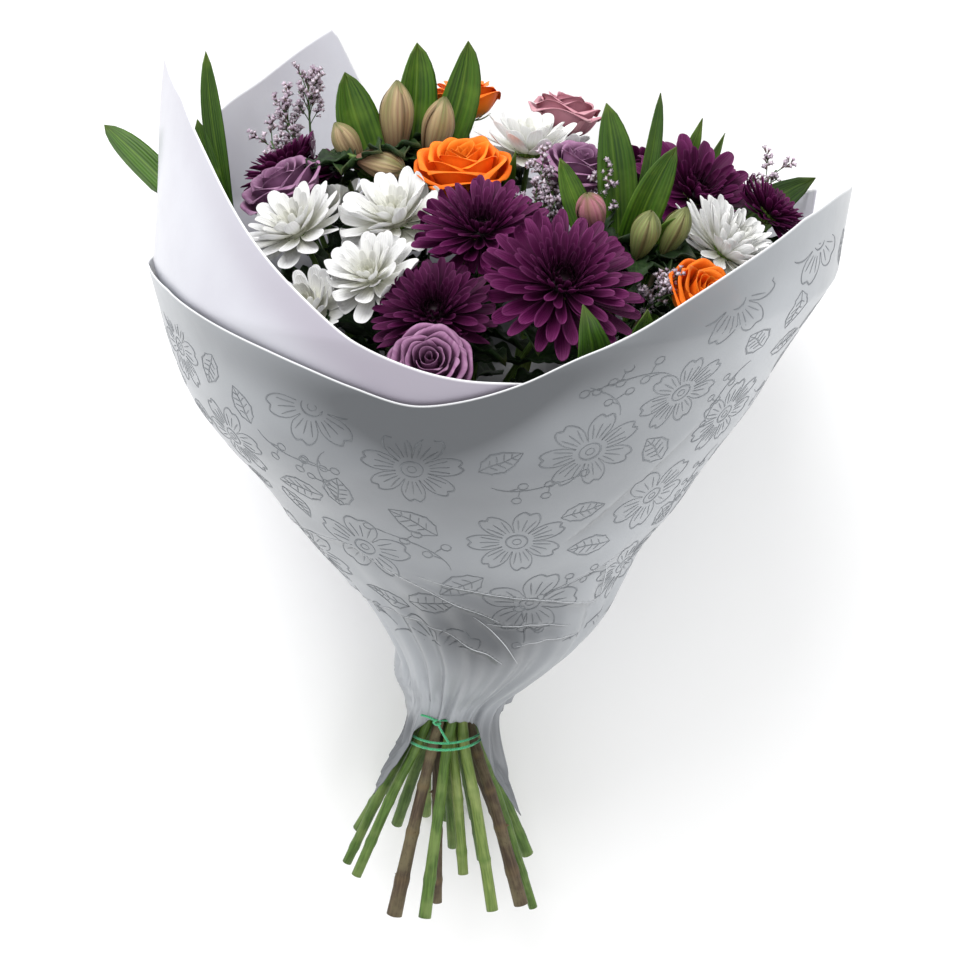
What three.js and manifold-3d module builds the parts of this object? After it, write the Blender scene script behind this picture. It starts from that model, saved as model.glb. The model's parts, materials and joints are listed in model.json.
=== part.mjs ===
// A hand-tied bouquet of mixed cut flowers in a wrapper of two film sheets, lying on its back.
// Millimetres. The bouquet is drawn in its own upright frame: the origin is the middle of the tie,
// +Z runs along the bunch to the heads, -Y is the show side and +X is to the right of it.
// The last lines lay it on its back, so that +Z is up and the surface is the plane Z = 0.
import * as THREE from "three";
import { mergeVertices } from "three/addons/utils/BufferGeometryUtils.js";
import Module from "manifold-3d";

const wasm = await Module();
wasm.setup();

// ---- Driving dimensions ----

const LAY_TILT = 20; // degrees that the bunch rises from the surface towards the heads
const TIE_HEIGHT = 75; // the middle of the tie above the surface
const GAP = 0.35; // clearance kept between two pieces that touch

const STEM_RADIUS_AT_TIE = 3.02;
const SLIM_STEM_RADIUS_AT_TIE = 2.85;
const RING_PITCH = 7.1; // radius of the inner ring of stems in the tie
const OUTER_RING_RADIUS = 13.703;
const TWIST_ABOVE = 32; // degrees that the spiral turns from the tie to the heads
const TWIST_BELOW = 36; // and from the feet to the tie
const FACING_FROM = [20, 10, 110]; // the blooms face away from this point inside the bunch

const PETAL_THICKNESS = 1.2;

const LEAF_THICKNESS = 1.1;
const LEAF_FOLD = 0.28; // rise of the edges for each millimetre of half width
const LEAF_TWIST = 0.5; // radians from the foot to the tip
const LEAF_STEPS = 4;

const TWINE_RADIUS = 1;
const TWINE_LOOPS = [6, -6.5, -9.6]; // heights of the three loops
const TWINE_WAVE = 0.8; // how far a loop leans up and down
const TWINE_START = 75; // degrees around where the cord begins

const FILM_THICKNESS = 0.8;
const SHEET_SPACING = 1.6; // between the middles of the two sheets
const FILM_BEND = 262; // height where the sheets leave the common cone
const BACK_SWELL = 0.12; // share that the back is wider than a round cone, so that it lies flat

// Height, middle of the section from the axis to the right, radius of the section.
const FILM_PROFILE = [
  [-55, 4, 40],
  [-30, 4, 33],
  [0, 5, 26.5],
  [14, 9, 26.6],
  [30, 16, 38.2],
  [48, 23, 51.3],
  [66, 25, 62.1],
  [85, 23, 72.1],
  [108, 19, 87.7],
  [132, 19, 105.3],
  [152, 18, 118.2],
  [172, 16, 132.6],
  [192, 16, 145.8],
  [216, 18, 156.6],
  [240, 22, 166.9],
  [262, 26, 176.4],
];
// Degrees around from the right, radius gained for each millimetre above FILM_BEND.
const FILM_FLARE = [
  [0, 0.14],
  [60, 0.1],
  [100, 0.2],
  [118, 0.245],
  [150, 0.05],
  [190, -0.09],
  [235, -0.05],
  [280, 0.1],
  [349, 0.136],
  [360, 0.14],
];
// Degrees around, height of the lower edge, height of the upper edge.
const OUTER_SHEET = [
  [176, 9, 257],
  [190, -10, 263],
  [205, -38, 263],
  [216, -8, 259.5],
  [230, 5, 253],
  [239, 7, 246.7],
  [248, 8, 239],
  [258, 9, 231.6],
  [266, 9, 234.8],
  [275, 8, 244.7],
  [283, 8, 258.2],
  [292, 5, 269.5],
  [301, 2, 282.6],
  [309, -12, 293],
  [323, -48, 307.5],
  [335, -20, 311],
  [349, 4, 306.3],
  [355, 5, 268],
  [368, 8, 236],
  [408, 10, 212],
];
const INNER_SHEET = [
  [15, 11, 284],
  [32, 10, 266],
  [46, 10, 258],
  [60, 10, 257],
  [77, 10, 266],
  [100, 10, 278.5],
  [111, 10, 293],
  [118, 10, 342.7],
  [134, 10, 324],
  [152, 10, 309],
  [159, 10, 283],
  [171, 10, 281],
  [178, 10, 308],
  [190, 10, 368.9],
  [205, 10, 357.3],
  [216, 10, 334.7],
  [230, 10, 300.3],
  [239, 10, 280.4],
  [248, 10, 262.6],
  [258, 10, 250.9],
  [266, 10, 245.9],
  [275, 10, 244.3],
  [283, 11, 242],
];
const SHEET_STEP = 12; // degrees between two columns of a sheet, at most
// Heights that both sheets have a row of points at.
const SHEET_LEVELS = [15, 31, 52, 78, 108, 140, 172, 206];
const SHEET_TOP_ROWS = 2; // rows from the last level to the upper edge

// ---- Finishes ----

const finish = (color, roughness, extra = {}) =>
  new THREE.MeshStandardMaterial({ color, roughness, metalness: 0, ...extra });
const PURPLE_PETAL = finish(0x782870, 0.6);
const WHITE_PETAL = finish(0xf4f3ee, 0.6);
const ORANGE_PETAL = finish(0xf26a14, 0.55);
const MAUVE_PETAL = finish(0xa9749f, 0.6);
const PINK_PETAL = finish(0xc98393, 0.6);
const LILY_PETAL = finish(0xd9c3a0, 0.5);
const STEM_GREEN = finish(0x6e983c, 0.5);
const STEM_BROWN = finish(0x6b5f4c, 0.7);
const FLORET_LILAC = finish(0xb9a5b8, 0.8);
const TWINE_GREEN = finish(0x3caa6e, 0.7);
const FILM_GREY = finish(0xaeb6bc, 0.4, { transparent: true, opacity: 0.85 });
const FILM_WHITE = finish(0xe3e5ea, 0.45, { transparent: true, opacity: 0.85 });

// ---- The bunch: where each head sits, in millimetres from the tie ----

// Centre of the bloom, radius, and for a few the way that it faces.
const PURPLE_BLOOMS = [
  { at: [59, -119, 282], radius: 39 },
  { at: [20, -76, 297], radius: 34 },
  { at: [-3, -116, 266], radius: 30 },
  { at: [134, 27, 289], radius: 35, facing: [0.42, -0.4, 0.8] },
  { at: [172, 16, 280], radius: 27 },
  { at: [-83, 44, 299], radius: 27 },
  { at: [-54, 44, 300], radius: 24 },
  { at: [104, 84, 284], radius: 32 },
];
const WHITE_BLOOMS = [
  { at: [-73, -46, 288], radius: 30 },
  { at: [-23, -46, 294], radius: 33 },
  { at: [-34, -92, 276], radius: 26 },
  { at: [-64, -91, 260], radius: 24 },
  { at: [45, 12, 316], radius: 33 },
  { at: [144, -42, 277], radius: 32 },
  { at: [18, 108, 278], radius: 30 },
  { at: [-60, 98, 262], radius: 30 },
];
const ORANGE_ROSES = [
  { at: [11, -26, 311], radius: 25 },
  { at: [11, 60, 329], radius: 19 },
  { at: [126, -98, 266], radius: 20 },
];
const MAUVE_ROSES = [
  { at: [-4, -146, 247], radius: 20, facing: [-0.05, -0.72, 0.69] },
  { at: [69, -24, 310], radius: 22 },
  { at: [-80, -6, 296], radius: 23 },
];
const PINK_ROSES = [{ at: [64, 48, 323], radius: 20 }];

// Buds of the alstroemeria: foot of the bud, its tip, radius.
const LILY_BUDS = [
  { foot: [-24, 20, 306], tip: [-23, 20, 345], radius: 9 },
  { foot: [-7, 20, 303], tip: [1, 14, 338], radius: 8.5 },
  { foot: [-42, 12, 303], tip: [-54, 10, 326], radius: 7 },
  { foot: [-43, -5, 312], tip: [-19, -14, 308], radius: 8 },
  { foot: [76, -66, 289], tip: [72, -74, 306], radius: 9 },
  { foot: [95, -76, 279], tip: [101, -84, 299], radius: 9 },
  { foot: [108, -62, 276], tip: [118, -66, 296], radius: 8 },
];

// ---- Small helpers ----

const rad = THREE.MathUtils.degToRad;
const vec = (place) => new THREE.Vector3(...place);
const clamp = THREE.MathUtils.clamp;
const mix = THREE.MathUtils.lerp;

// A repeatable draw between -1 and 1.
function draws(seed) {
  let state = seed;
  return () => {
    state = (state * 1103515245 + 12345) % 2147483648;
    return (state / 2147483648) * 2 - 1;
  };
}

// The value of a column of a table at a place between its rows.
function readOff(table, place, column) {
  const above = table.findIndex((row) => row[0] >= place);
  if (above === 0) return table[0][column];
  if (above < 0) return table.at(-1)[column];
  const [low, high] = [table[above - 1], table[above]];
  return mix(low[column], high[column], (place - low[0]) / (high[0] - low[0]));
}

// ---- Solids ----

// The solid inside a closed three.js geometry, whichever way its faces were wound.
function solidOf(geometry) {
  geometry.deleteAttribute("normal");
  geometry.deleteAttribute("uv");
  const merged = mergeVertices(geometry, 1e-3);
  const faces = [];
  for (let i = 0; i < merged.index.count; i += 3) {
    const face = [0, 1, 2].map((k) => merged.index.getX(i + k));
    if (new Set(face).size === 3) faces.push(face);
  }
  const close = (turned) =>
    new wasm.Manifold(
      new wasm.Mesh({
        numProp: 3,
        vertProperties: merged.attributes.position.array,
        triVerts: new Uint32Array(faces.flatMap((f) => (turned ? [...f].reverse() : f))),
      }),
    );
  const made = close(false);
  return made.volume() < 0 ? close(true) : made;
}

// A closed piece drawn ring by ring: place(along, side, up) gives the point at a share of the
// length, for side and up on the unit circle, or both 0 at the middle of an end.
// A last ring that shrinks to one point closes the piece with a tip.
function loft(sides, steps, place) {
  const shape = new THREE.CylinderGeometry(1, 1, 1, sides, steps);
  const points = shape.attributes.position;
  for (let i = 0; i < points.count; i++) {
    const along = points.getY(i) + 0.5;
    const point = place(along, points.getX(i), -points.getZ(i));
    points.setXYZ(i, point.x, point.y, point.z);
  }
  return solidOf(shape);
}

// A thin sheet over a grid: place(across, along) gives the point and the way that its front looks.
// Both faces are split into the same triangles, so they never cross.
function sheet(columns, rows, thickness, place) {
  const grid = new THREE.PlaneGeometry(1, 1, columns, rows);
  const count = grid.attributes.position.count;
  const points = new Float32Array(count * 6);
  for (let i = 0; i < count; i++) {
    const across = grid.attributes.position.getX(i) + 0.5;
    const along = grid.attributes.position.getY(i) + 0.5;
    const { point, normal } = place(across, along);
    point.clone().addScaledVector(normal, thickness / 2).toArray(points, i * 3);
    point.clone().addScaledVector(normal, -thickness / 2).toArray(points, (count + i) * 3);
  }
  const front = [...grid.index.array];
  const back = [];
  for (let i = 0; i < front.length; i += 3) {
    back.push(count + front[i], count + front[i + 2], count + front[i + 1]);
  }
  const wide = columns + 1;
  const corner = (column, row) => row * wide + column;
  const edge = [];
  for (let c = 0; c < columns; c++) edge.push(corner(c, 0));
  for (let r = 0; r < rows; r++) edge.push(corner(columns, r));
  for (let c = columns; c > 0; c--) edge.push(corner(c, rows));
  for (let r = rows; r > 0; r--) edge.push(corner(0, r));
  const rim = edge.flatMap((a, i) => {
    const b = edge[(i + 1) % edge.length];
    return [a, b, count + b, a, count + b, count + a];
  });
  const geometry = new THREE.BufferGeometry();
  geometry.setAttribute("position", new THREE.BufferAttribute(points, 3));
  geometry.setIndex([...front, ...back, ...rim]);
  return solidOf(geometry);
}

const evenly = (steps) => Array.from({ length: steps + 1 }, (_, k) => k / steps);

// The coordinate axis that a curve runs along least.
function crossAxis(curve) {
  const run = curve.getPointAt(1).sub(curve.getPointAt(0));
  const least = Math.min(Math.abs(run.x), Math.abs(run.y), Math.abs(run.z));
  return vec([run.x, run.y, run.z].map((part) => (Math.abs(part) === least ? 1 : 0)));
}

// A tube with a ring at each of the given shares of its length.
function tube(curve, radius, sides, shares, reference = crossAxis(curve)) {
  return loft(sides, shares.length - 1, (along, side, up) => {
    const share = shares[Math.round(along * (shares.length - 1))];
    const ahead = curve.getTangentAt(share);
    const across = ahead.clone().cross(reference).normalize();
    const over = across.clone().cross(ahead);
    return curve
      .getPointAt(share)
      .addScaledVector(across, side * radius(share))
      .addScaledVector(over, up * radius(share));
  });
}

// A leaf along a curve, twisted along its length and folded up a little along its middle.
function blade(curve, upward, halfWidth, sides) {
  return loft(sides, LEAF_STEPS, (along, side, rise) => {
    const ahead = curve.getTangentAt(along);
    const up = upward.clone().applyAxisAngle(ahead, LEAF_TWIST * along);
    up.addScaledVector(ahead, -up.dot(ahead)).normalize();
    const across = ahead.clone().cross(up);
    const half = halfWidth(along);
    const lift = rise * LEAF_THICKNESS * 0.5 * clamp(half, 0, 1);
    return curve
      .getPointAt(along)
      .addScaledVector(across, side * half)
      .addScaledVector(up, lift + Math.abs(side) * LEAF_FOLD * half);
  });
}

// ---- Keeping clear: what would cross another piece is bent clear, shortened or left out ----

const placed = [];

function boxesApart(a, b) {
  return [0, 1, 2].some((k) => a.min[k] > b.max[k] + GAP || b.min[k] > a.max[k] + GAP);
}

function isClear(solid, node) {
  const box = solid.boundingBox();
  return placed.every(
    (other) =>
      other.node === node ||
      boxesApart(box, other.box) ||
      solid.minGap(other.solid, GAP) >= GAP - 1e-6,
  );
}

function place(node, solid) {
  placed.push({ node, solid, box: solid.boundingBox() });
}

// The first variant of a piece that is clear of the other nodes, or none.
function firstClear(node, variants, make) {
  for (const variant of variants) {
    const solid = make(variant);
    if (isClear(solid, node)) return solid;
  }
  return null;
}

// One body out of a core and what is rooted in it; a scrap that lost its root is dropped.
function fuse(solids) {
  const bodies = wasm.Manifold.union(solids).decompose();
  return bodies.reduce((best, body) => (body.volume() > best.volume() ? body : best));
}

// ---- Nodes ----

const bouquet = new THREE.Group();

function addMesh(name, solid, material, spot = null) {
  const local = spot ? solid.transform(spot.clone().invert().elements) : solid;
  const { vertProperties, triVerts } = local.getMesh();
  const geometry = new THREE.BufferGeometry();
  geometry.setAttribute("position", new THREE.BufferAttribute(vertProperties, 3));
  geometry.setIndex(new THREE.BufferAttribute(triVerts, 1));
  geometry.computeVertexNormals();
  const mesh = new THREE.Mesh(geometry, material);
  mesh.name = name;
  if (spot) spot.decompose(mesh.position, mesh.quaternion, mesh.scale);
  bouquet.add(mesh);
}

// A frame at a place, with +Z along a direction.
function spotAt(origin, facing) {
  const turn = new THREE.Quaternion().setFromUnitVectors(new THREE.Vector3(0, 0, 1), facing);
  return new THREE.Matrix4().compose(origin, turn, new THREE.Vector3(1, 1, 1));
}

// ---- Blooms ----

function facingOf(bloom) {
  const facing = bloom.facing ? vec(bloom.facing) : vec(bloom.at).sub(vec(FACING_FROM));
  return facing.normalize();
}

function footOf(bloom, form) {
  return vec(bloom.at).addScaledVector(facingOf(bloom), -form.behind * bloom.radius);
}

// A bloom is one closed skin: a round core, with petals drawn out of the quads of its bands.
// The core is a list of rings, each a height and a radius in radii of the bloom.

function ringPoint(radius, [height, wide], around) {
  return new THREE.Vector3(
    Math.cos(around) * wide * radius,
    Math.sin(around) * wide * radius,
    height * radius,
  );
}

// Walls from one ring of point numbers to the next, or to a single point.
function wall(faces, from, to) {
  from.forEach((a, k) => {
    const b = from[(k + 1) % from.length];
    if (to.length === 1) faces.push([a, b, to[0]]);
    else faces.push([a, b, to[(k + 1) % to.length]], [a, to[(k + 1) % to.length], to[k]]);
  });
}

function lid(faces, ring) {
  for (let k = 1; k < ring.length - 1; k++) faces.push([ring[0], ring[k], ring[k + 1]]);
}

function drawOut(points, faces, root, rings) {
  let from = root;
  for (const ring of rings) {
    const to = ring.map((point) => points.push(point) - 1);
    wall(faces, from, to);
    from = to;
  }
  if (from.length > 1) lid(faces, from);
}

function skinSolid(points, faces) {
  const geometry = new THREE.BufferGeometry().setFromPoints(points);
  geometry.setIndex(faces.flat());
  return solidOf(geometry);
}

// The corners of the quads that a petal grows from: low edge forwards, then high edge backwards.
function rootCorners(form, band, column) {
  const steps = Array.from({ length: form.span + 1 }, (_, k) => column + k);
  return [...steps.map((c) => [band, c]), ...steps.reverse().map((c) => [band + 1, c])];
}

function bloomSkin(form, radius, petals) {
  const points = [];
  const faces = [];
  const around = (c) => (c / form.columns) * 2 * Math.PI;
  const number = (ring, c) => ring * form.columns + (c % form.columns);
  for (const ring of form.core) {
    for (let c = 0; c < form.columns; c++) points.push(ringPoint(radius, ring, around(c)));
  }
  const all = Array.from({ length: form.columns }, (_, c) => c);
  const last = form.core.length - 1;
  lid(faces, all.map((c) => number(0, c)).reverse());
  lid(faces, all.map((c) => number(last, c)));
  const taken = new Set();
  for (const petal of petals) {
    const root = rootCorners(form, petal.band, petal.column).map(([ring, c]) => number(ring, c));
    for (let k = 0; k < form.span; k++) {
      taken.add(`${petal.band} ${(petal.column + k) % form.columns}`);
    }
    drawOut(points, faces, root, petal.rings);
  }
  for (let band = 0; band < last; band++) {
    for (const c of all) {
      if (taken.has(`${band} ${c}`)) continue;
      lid(faces, [
        number(band, c),
        number(band, c + 1),
        number(band + 1, c + 1),
        number(band + 1, c),
      ]);
    }
  }
  return skinSolid(points, faces);
}

function petalAlone(form, radius, petal) {
  const points = rootCorners(form, petal.band, petal.column).map(([ring, c]) =>
    ringPoint(radius, form.core[ring], (c / form.columns) * 2 * Math.PI),
  );
  const faces = [];
  const root = points.map((_, k) => k);
  lid(faces, [...root].reverse());
  drawOut(points, faces, root, petal.rings);
  return skinSolid(points, faces);
}

// Grows the petals that find room, each the first variant that is clear of the other nodes and
// of the petals already there.
function makeBloom(name, bloom, form, material) {
  const spot = spotAt(footOf(bloom, form), facingOf(bloom));
  const grown = [];
  const petals = [];
  for (const layer of form.layers) {
    for (let i = 0; i < layer.count; i++) {
      const column = Math.round((i * form.columns) / layer.count) + (layer.start ?? 0);
      for (const [kept, lift] of form.tries) {
        const rings = form.petal(form, layer, bloom.radius, column, kept, lift);
        const petal = { band: layer.band, column, rings };
        const alone = petalAlone(form, bloom.radius, petal).transform(spot.elements);
        const free = grown.every((other) => alone.intersect(other).volume() < 1e-3);
        if (!free || !isClear(alone, name)) continue;
        grown.push(alone);
        petals.push(petal);
        break;
      }
    }
  }
  const body = bloomSkin(form, bloom.radius, petals).transform(spot.elements);
  place(name, body);
  addMesh(name, body, material, spot);
}

// What a petal tries when its own place is taken: reach kept, and lift of the tip in radii.
const DAISY_TRIES = [
  [1, 0],
  [0.9, 0.2],
  [0.75, 0],
  [0.72, 0.4],
  [0.55, 0.1],
  [0.5, 0.45],
];

// A flat petal with a pointed tip: widest past its middle, turned a little off its root.
function daisyPetal(form, layer, radius, column, kept, lift) {
  const around = ((column + 0.5 * form.span) / form.columns) * 2 * Math.PI + rad(layer.swirl);
  const out = new THREE.Vector3(Math.cos(around), Math.sin(around), 0);
  const side = new THREE.Vector3(-out.y, out.x, 0);
  const [, rootWide] = form.core[1];
  const reach = layer.reach * kept;
  const tipHigh = layer.tip + lift;
  const middleReach = mix(rootWide, reach, 0.62);
  const middleHigh = mix(layer.root, tipHigh, 0.5) + 0.05;
  const slope = new THREE.Vector3(reach - rootWide, 0, tipHigh - layer.root).normalize();
  const up = out.clone().multiplyScalar(-slope.z).setZ(slope.x);
  const middle = out.clone().multiplyScalar(middleReach).setZ(middleHigh).multiplyScalar(radius);
  const corner = (s, u) =>
    middle
      .clone()
      .addScaledVector(side, s * layer.half * radius)
      .addScaledVector(up, u * PETAL_THICKNESS * 0.5);
  const tip = out.clone().multiplyScalar(reach).setZ(tipHigh).multiplyScalar(radius);
  return [[corner(-0.7, -1), corner(0.7, -1), corner(1, 1), corner(-1, 1)], [tip]];
}

const PURPLE_DAISY = {
  columns: 11,
  span: 1,
  behind: 0.3,
  petal: daisyPetal,
  tries: DAISY_TRIES,
  core: [
    [0, 0.1],
    [0.14, 0.3],
    [0.3, 0.3],
    [0.44, 0.2],
    [0.46, 0.12],
  ],
  layers: [
    { band: 1, count: 11, root: 0.2, reach: 1, tip: 0.14, half: 0.15, swirl: 0 },
    { band: 2, count: 11, root: 0.36, reach: 0.74, tip: 0.5, half: 0.12, swirl: 16 },
  ],
};
const WHITE_DAISY = {
  ...PURPLE_DAISY,
  columns: 9,
  layers: [
    { band: 1, count: 9, root: 0.2, reach: 1, tip: 0.16, half: 0.19, swirl: 0 },
    { band: 2, count: 9, root: 0.36, reach: 0.7, tip: 0.54, half: 0.15, swirl: 20 },
  ],
};

const ROSE_TRIES = [
  [1, 0],
  [0.86, 0.06],
  [0.74, 0.1],
  [0.64, 0.1],
];

// A cupped petal in two stretches, wide over its belly, with its lip rolled out.
function rosePetal(form, layer, radius, column, kept, lift) {
  const middle = ((column + 0.5 * form.span) / form.columns) * 2 * Math.PI;
  const ringAt = ([high, wide, spread], droop) => {
    const inner = [];
    const outer = [];
    for (const k of [-1, 0, 1]) {
      const turn = middle + k * rad(spread);
      const height = (high + lift - droop * Math.abs(k)) * radius;
      const reach = wide * kept * radius;
      const out = new THREE.Vector3(Math.cos(turn), Math.sin(turn), 0);
      outer.push(out.clone().multiplyScalar(reach).setZ(height));
      inner.unshift(out.clone().multiplyScalar(reach - PETAL_THICKNESS).setZ(height + 0.3));
    }
    return [...outer, ...inner];
  };
  return [ringAt(layer.belly, 0), ringAt(layer.lip, 0.12)];
}

const ROSE = {
  columns: 10,
  span: 2,
  behind: 0.62,
  petal: rosePetal,
  tries: ROSE_TRIES,
  core: [
    [0, 0.14],
    [0.16, 0.4],
    [0.3, 0.46],
    [0.44, 0.46],
    [0.9, 0.4],
    [1.14, 0.24],
  ],
  layers: [
    { band: 1, count: 5, belly: [0.5, 0.82, 33], lip: [0.84, 1, 34] },
    { band: 2, count: 5, start: 1, belly: [0.66, 0.66, 32], lip: [1.06, 0.72, 33] },
  ],
};

// An alstroemeria bud: six tepals closed into a ribbed spindle.
function makeLilyBud(name, bud) {
  const foot = vec(bud.foot);
  const tip = vec(bud.tip);
  const spot = spotAt(foot, tip.clone().sub(foot).normalize());
  const length = foot.distanceTo(tip);
  const profile = [[0, 0.3], [0.25, 0.75], [0.6, 1], [0.85, 0.7], [1, 0]];
  const spindle = loft(9, 4, (along, side, up) => {
    const ridge = Math.abs(Math.cos(1.5 * Math.atan2(up, side)));
    const wide = bud.radius * readOff(profile, along, 1) * mix(0.86, 1, ridge);
    return new THREE.Vector3(side * wide, up * wide, along * length);
  });
  const body = spindle.transform(spot.elements);
  place(name, body);
  addMesh(name, body, LILY_PETAL, spot);
}

// ---- Stems ----

// Feet of the stems, in millimetres from the tie. The last two touch the surface.
const restingY = (height, radius) =>
  (TIE_HEIGHT + height * Math.sin(rad(LAY_TILT)) - radius) / Math.cos(rad(LAY_TILT));
const FEET = [
  { at: [-28, -30, -107], radius: 4.6 },
  { at: [-11, -42, -102], radius: 3.7 },
  { at: [-5, -12, -109], radius: 3.2 },
  { at: [42, -22, -105], radius: 4.2 },
  { at: [49, -6, -116], radius: 2.6 },
  { at: [26, -38, -100], radius: 3.4 },
  { at: [-49, 12, -76], radius: 3.6 },
  { at: [-49, -22, -87], radius: 3 },
  { at: [-55, -5, -88], radius: 2.8 },
  { at: [-28, 26, -80], radius: 3.4 },
  { at: [-36, 40, -66], radius: 3.4 },
  { at: [4, 10, -86], radius: 3.2 },
  { at: [10, -26, -84], radius: 3 },
  { at: [20, 14, -96], radius: 2.8 },
  { at: [46, 12, -92], radius: 3.6 },
  { at: [30, 34, -84], radius: 3 },
  { at: [0, 32, -80], radius: 3 },
  { at: [-12, restingY(-84, 3.2), -84], radius: 3.2 },
  { at: [16, restingY(-86, 3.2), -86], radius: 3.2 },
];

const heads = (blooms, form, which) => which.map((i) => ({ ...blooms[i], form }));
const STEMS = [
  { name: "purple_spray_stem_1", heads: heads(PURPLE_BLOOMS, PURPLE_DAISY, [0, 1, 2]), fork: 0.66 },
  { name: "purple_spray_stem_2", heads: heads(PURPLE_BLOOMS, PURPLE_DAISY, [3, 4, 7]), fork: 0.62 },
  { name: "purple_spray_stem_3", heads: heads(PURPLE_BLOOMS, PURPLE_DAISY, [5, 6]), fork: 0.7 },
  { name: "white_spray_stem_1", heads: heads(WHITE_BLOOMS, WHITE_DAISY, [0, 3]), fork: 0.66 },
  { name: "white_spray_stem_2", heads: heads(WHITE_BLOOMS, WHITE_DAISY, [1, 2]), fork: 0.66 },
  { name: "white_spray_stem_3", heads: heads(WHITE_BLOOMS, WHITE_DAISY, [4, 6, 7]), fork: 0.62 },
  { name: "white_spray_stem_4", heads: heads(WHITE_BLOOMS, WHITE_DAISY, [5]), fork: 0.7 },
  { name: "orange_rose_stem_1", heads: heads(ORANGE_ROSES, ROSE, [0]), brown: true, slim: true },
  { name: "orange_rose_stem_2", heads: heads(ORANGE_ROSES, ROSE, [1]), brown: true },
  { name: "orange_rose_stem_3", heads: heads(ORANGE_ROSES, ROSE, [2]), brown: true },
  { name: "mauve_rose_stem_1", heads: heads(MAUVE_ROSES, ROSE, [0]), slim: true },
  { name: "mauve_rose_stem_2", heads: heads(MAUVE_ROSES, ROSE, [1]), brown: true },
  { name: "mauve_rose_stem_3", heads: heads(MAUVE_ROSES, ROSE, [2]) },
  { name: "pink_rose_stem", heads: heads(PINK_ROSES, ROSE, [0]) },
  { name: "alstroemeria_stem_1", buds: [0, 1, 2, 3], top: [-24, 21, 289] },
  { name: "alstroemeria_stem_2", buds: [4, 5, 6], top: [92, -54, 262] },
  { name: "alstroemeria_stem_3", top: [-108, 8, 266] },
  { name: "limonium_spray_1", florets: true, top: [-72, 74, 292] },
  { name: "limonium_spray_2", florets: true, top: [92, -14, 258] },
];

// The places of the stems in the tie: one in the middle, then a ring of 6 and a ring of 12.
function tiePlaces() {
  const ring = (count, radius, shift) =>
    Array.from({ length: count }, (_, i) => {
      const around = ((i + shift) / count) * 2 * Math.PI;
      return new THREE.Vector3(Math.cos(around), Math.sin(around), 0).multiplyScalar(radius);
    });
  return [new THREE.Vector3(), ...ring(6, RING_PITCH, 0), ...ring(12, OUTER_RING_RADIUS, 0.5)];
}

// Pairs each place with one aim so that straight lines between them don't cross: it swaps two
// aims while that brings the pairs closer together.
function pairUp(places, aims, twist, spread) {
  const axis = new THREE.Vector3(0, 0, 1);
  const turned = places.map((tiePlace) =>
    tiePlace.clone().applyAxisAngle(axis, rad(twist)).multiplyScalar(spread),
  );
  const cost = (i, k) => (turned[i].x - aims[k].x) ** 2 + (turned[i].y - aims[k].y) ** 2;
  const chosen = aims.map((_, k) => k);
  for (let again = true; again; ) {
    again = false;
    for (let i = 0; i < chosen.length; i++) {
      for (let j = 0; j < i; j++) {
        const now = cost(i, chosen[i]) + cost(j, chosen[j]);
        if (cost(i, chosen[j]) + cost(j, chosen[i]) < now - 1e-9) {
          [chosen[i], chosen[j]] = [chosen[j], chosen[i]];
          again = true;
        }
      }
    }
  }
  return chosen;
}

// Where a stem is heading: the middle of its heads, or its top.
function aimOf(stem) {
  if (stem.top) return vec(stem.top);
  const sum = new THREE.Vector3();
  for (const head of stem.heads) sum.add(footOf(head, head.form));
  return sum.divideScalar(stem.heads.length);
}

const places = tiePlaces();
const SPREAD_ABOVE = 9; // how much wider the bunch is at the heads than at the tie
const SPREAD_BELOW = 3.4; // and at the feet
const stemOfPlace = pairUp(places, STEMS.map(aimOf), TWIST_ABOVE, SPREAD_ABOVE);
const footOfPlace = pairUp(
  places,
  FEET.map((foot) => vec(foot.at)),
  -TWIST_BELOW,
  SPREAD_BELOW,
);

// The stretch above the tie leaves it steeply and then opens out like a vase.
function riseTo(from, to, arrive) {
  const length = from.distanceTo(to);
  const straight = to.clone().sub(from).normalize();
  const steep = straight.clone().add(new THREE.Vector3(0, 0, 1.1)).normalize();
  return new THREE.CubicBezierCurve3(
    from,
    from.clone().addScaledVector(steep, length * 0.3),
    to.clone().addScaledVector(arrive, -length * 0.22),
    to,
  );
}

function wholeStem(tiePlace, foot, top, arrive) {
  const rise = riseTo(tiePlace, top, arrive);
  const start = vec(foot.at);
  const below = start.clone().lerp(tiePlace, 0.5).add(new THREE.Vector3(0, 0, 2));
  const above = [0.16, 0.36, 0.58, 0.8, 1].map((share) => rise.getPoint(share));
  return new THREE.CatmullRomCurve3([start, below, tiePlace, ...above], false, "centripetal");
}

const STEM_TOP_RADIUS = 2.3; // of a stem with one bloom
const FORK_RADIUS = 2.1; // of a stem where it forks
const BRANCH_RADIUS = 1.7;
const FOOT_FLARE = 1.7; // how late a stem swells on its way down to its foot
// Rings of points of a stem above the tie, as shares of that stretch.
const RISE_SHARES = [0.08, 0.2, 0.36, 0.54, 0.76, 1];

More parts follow.
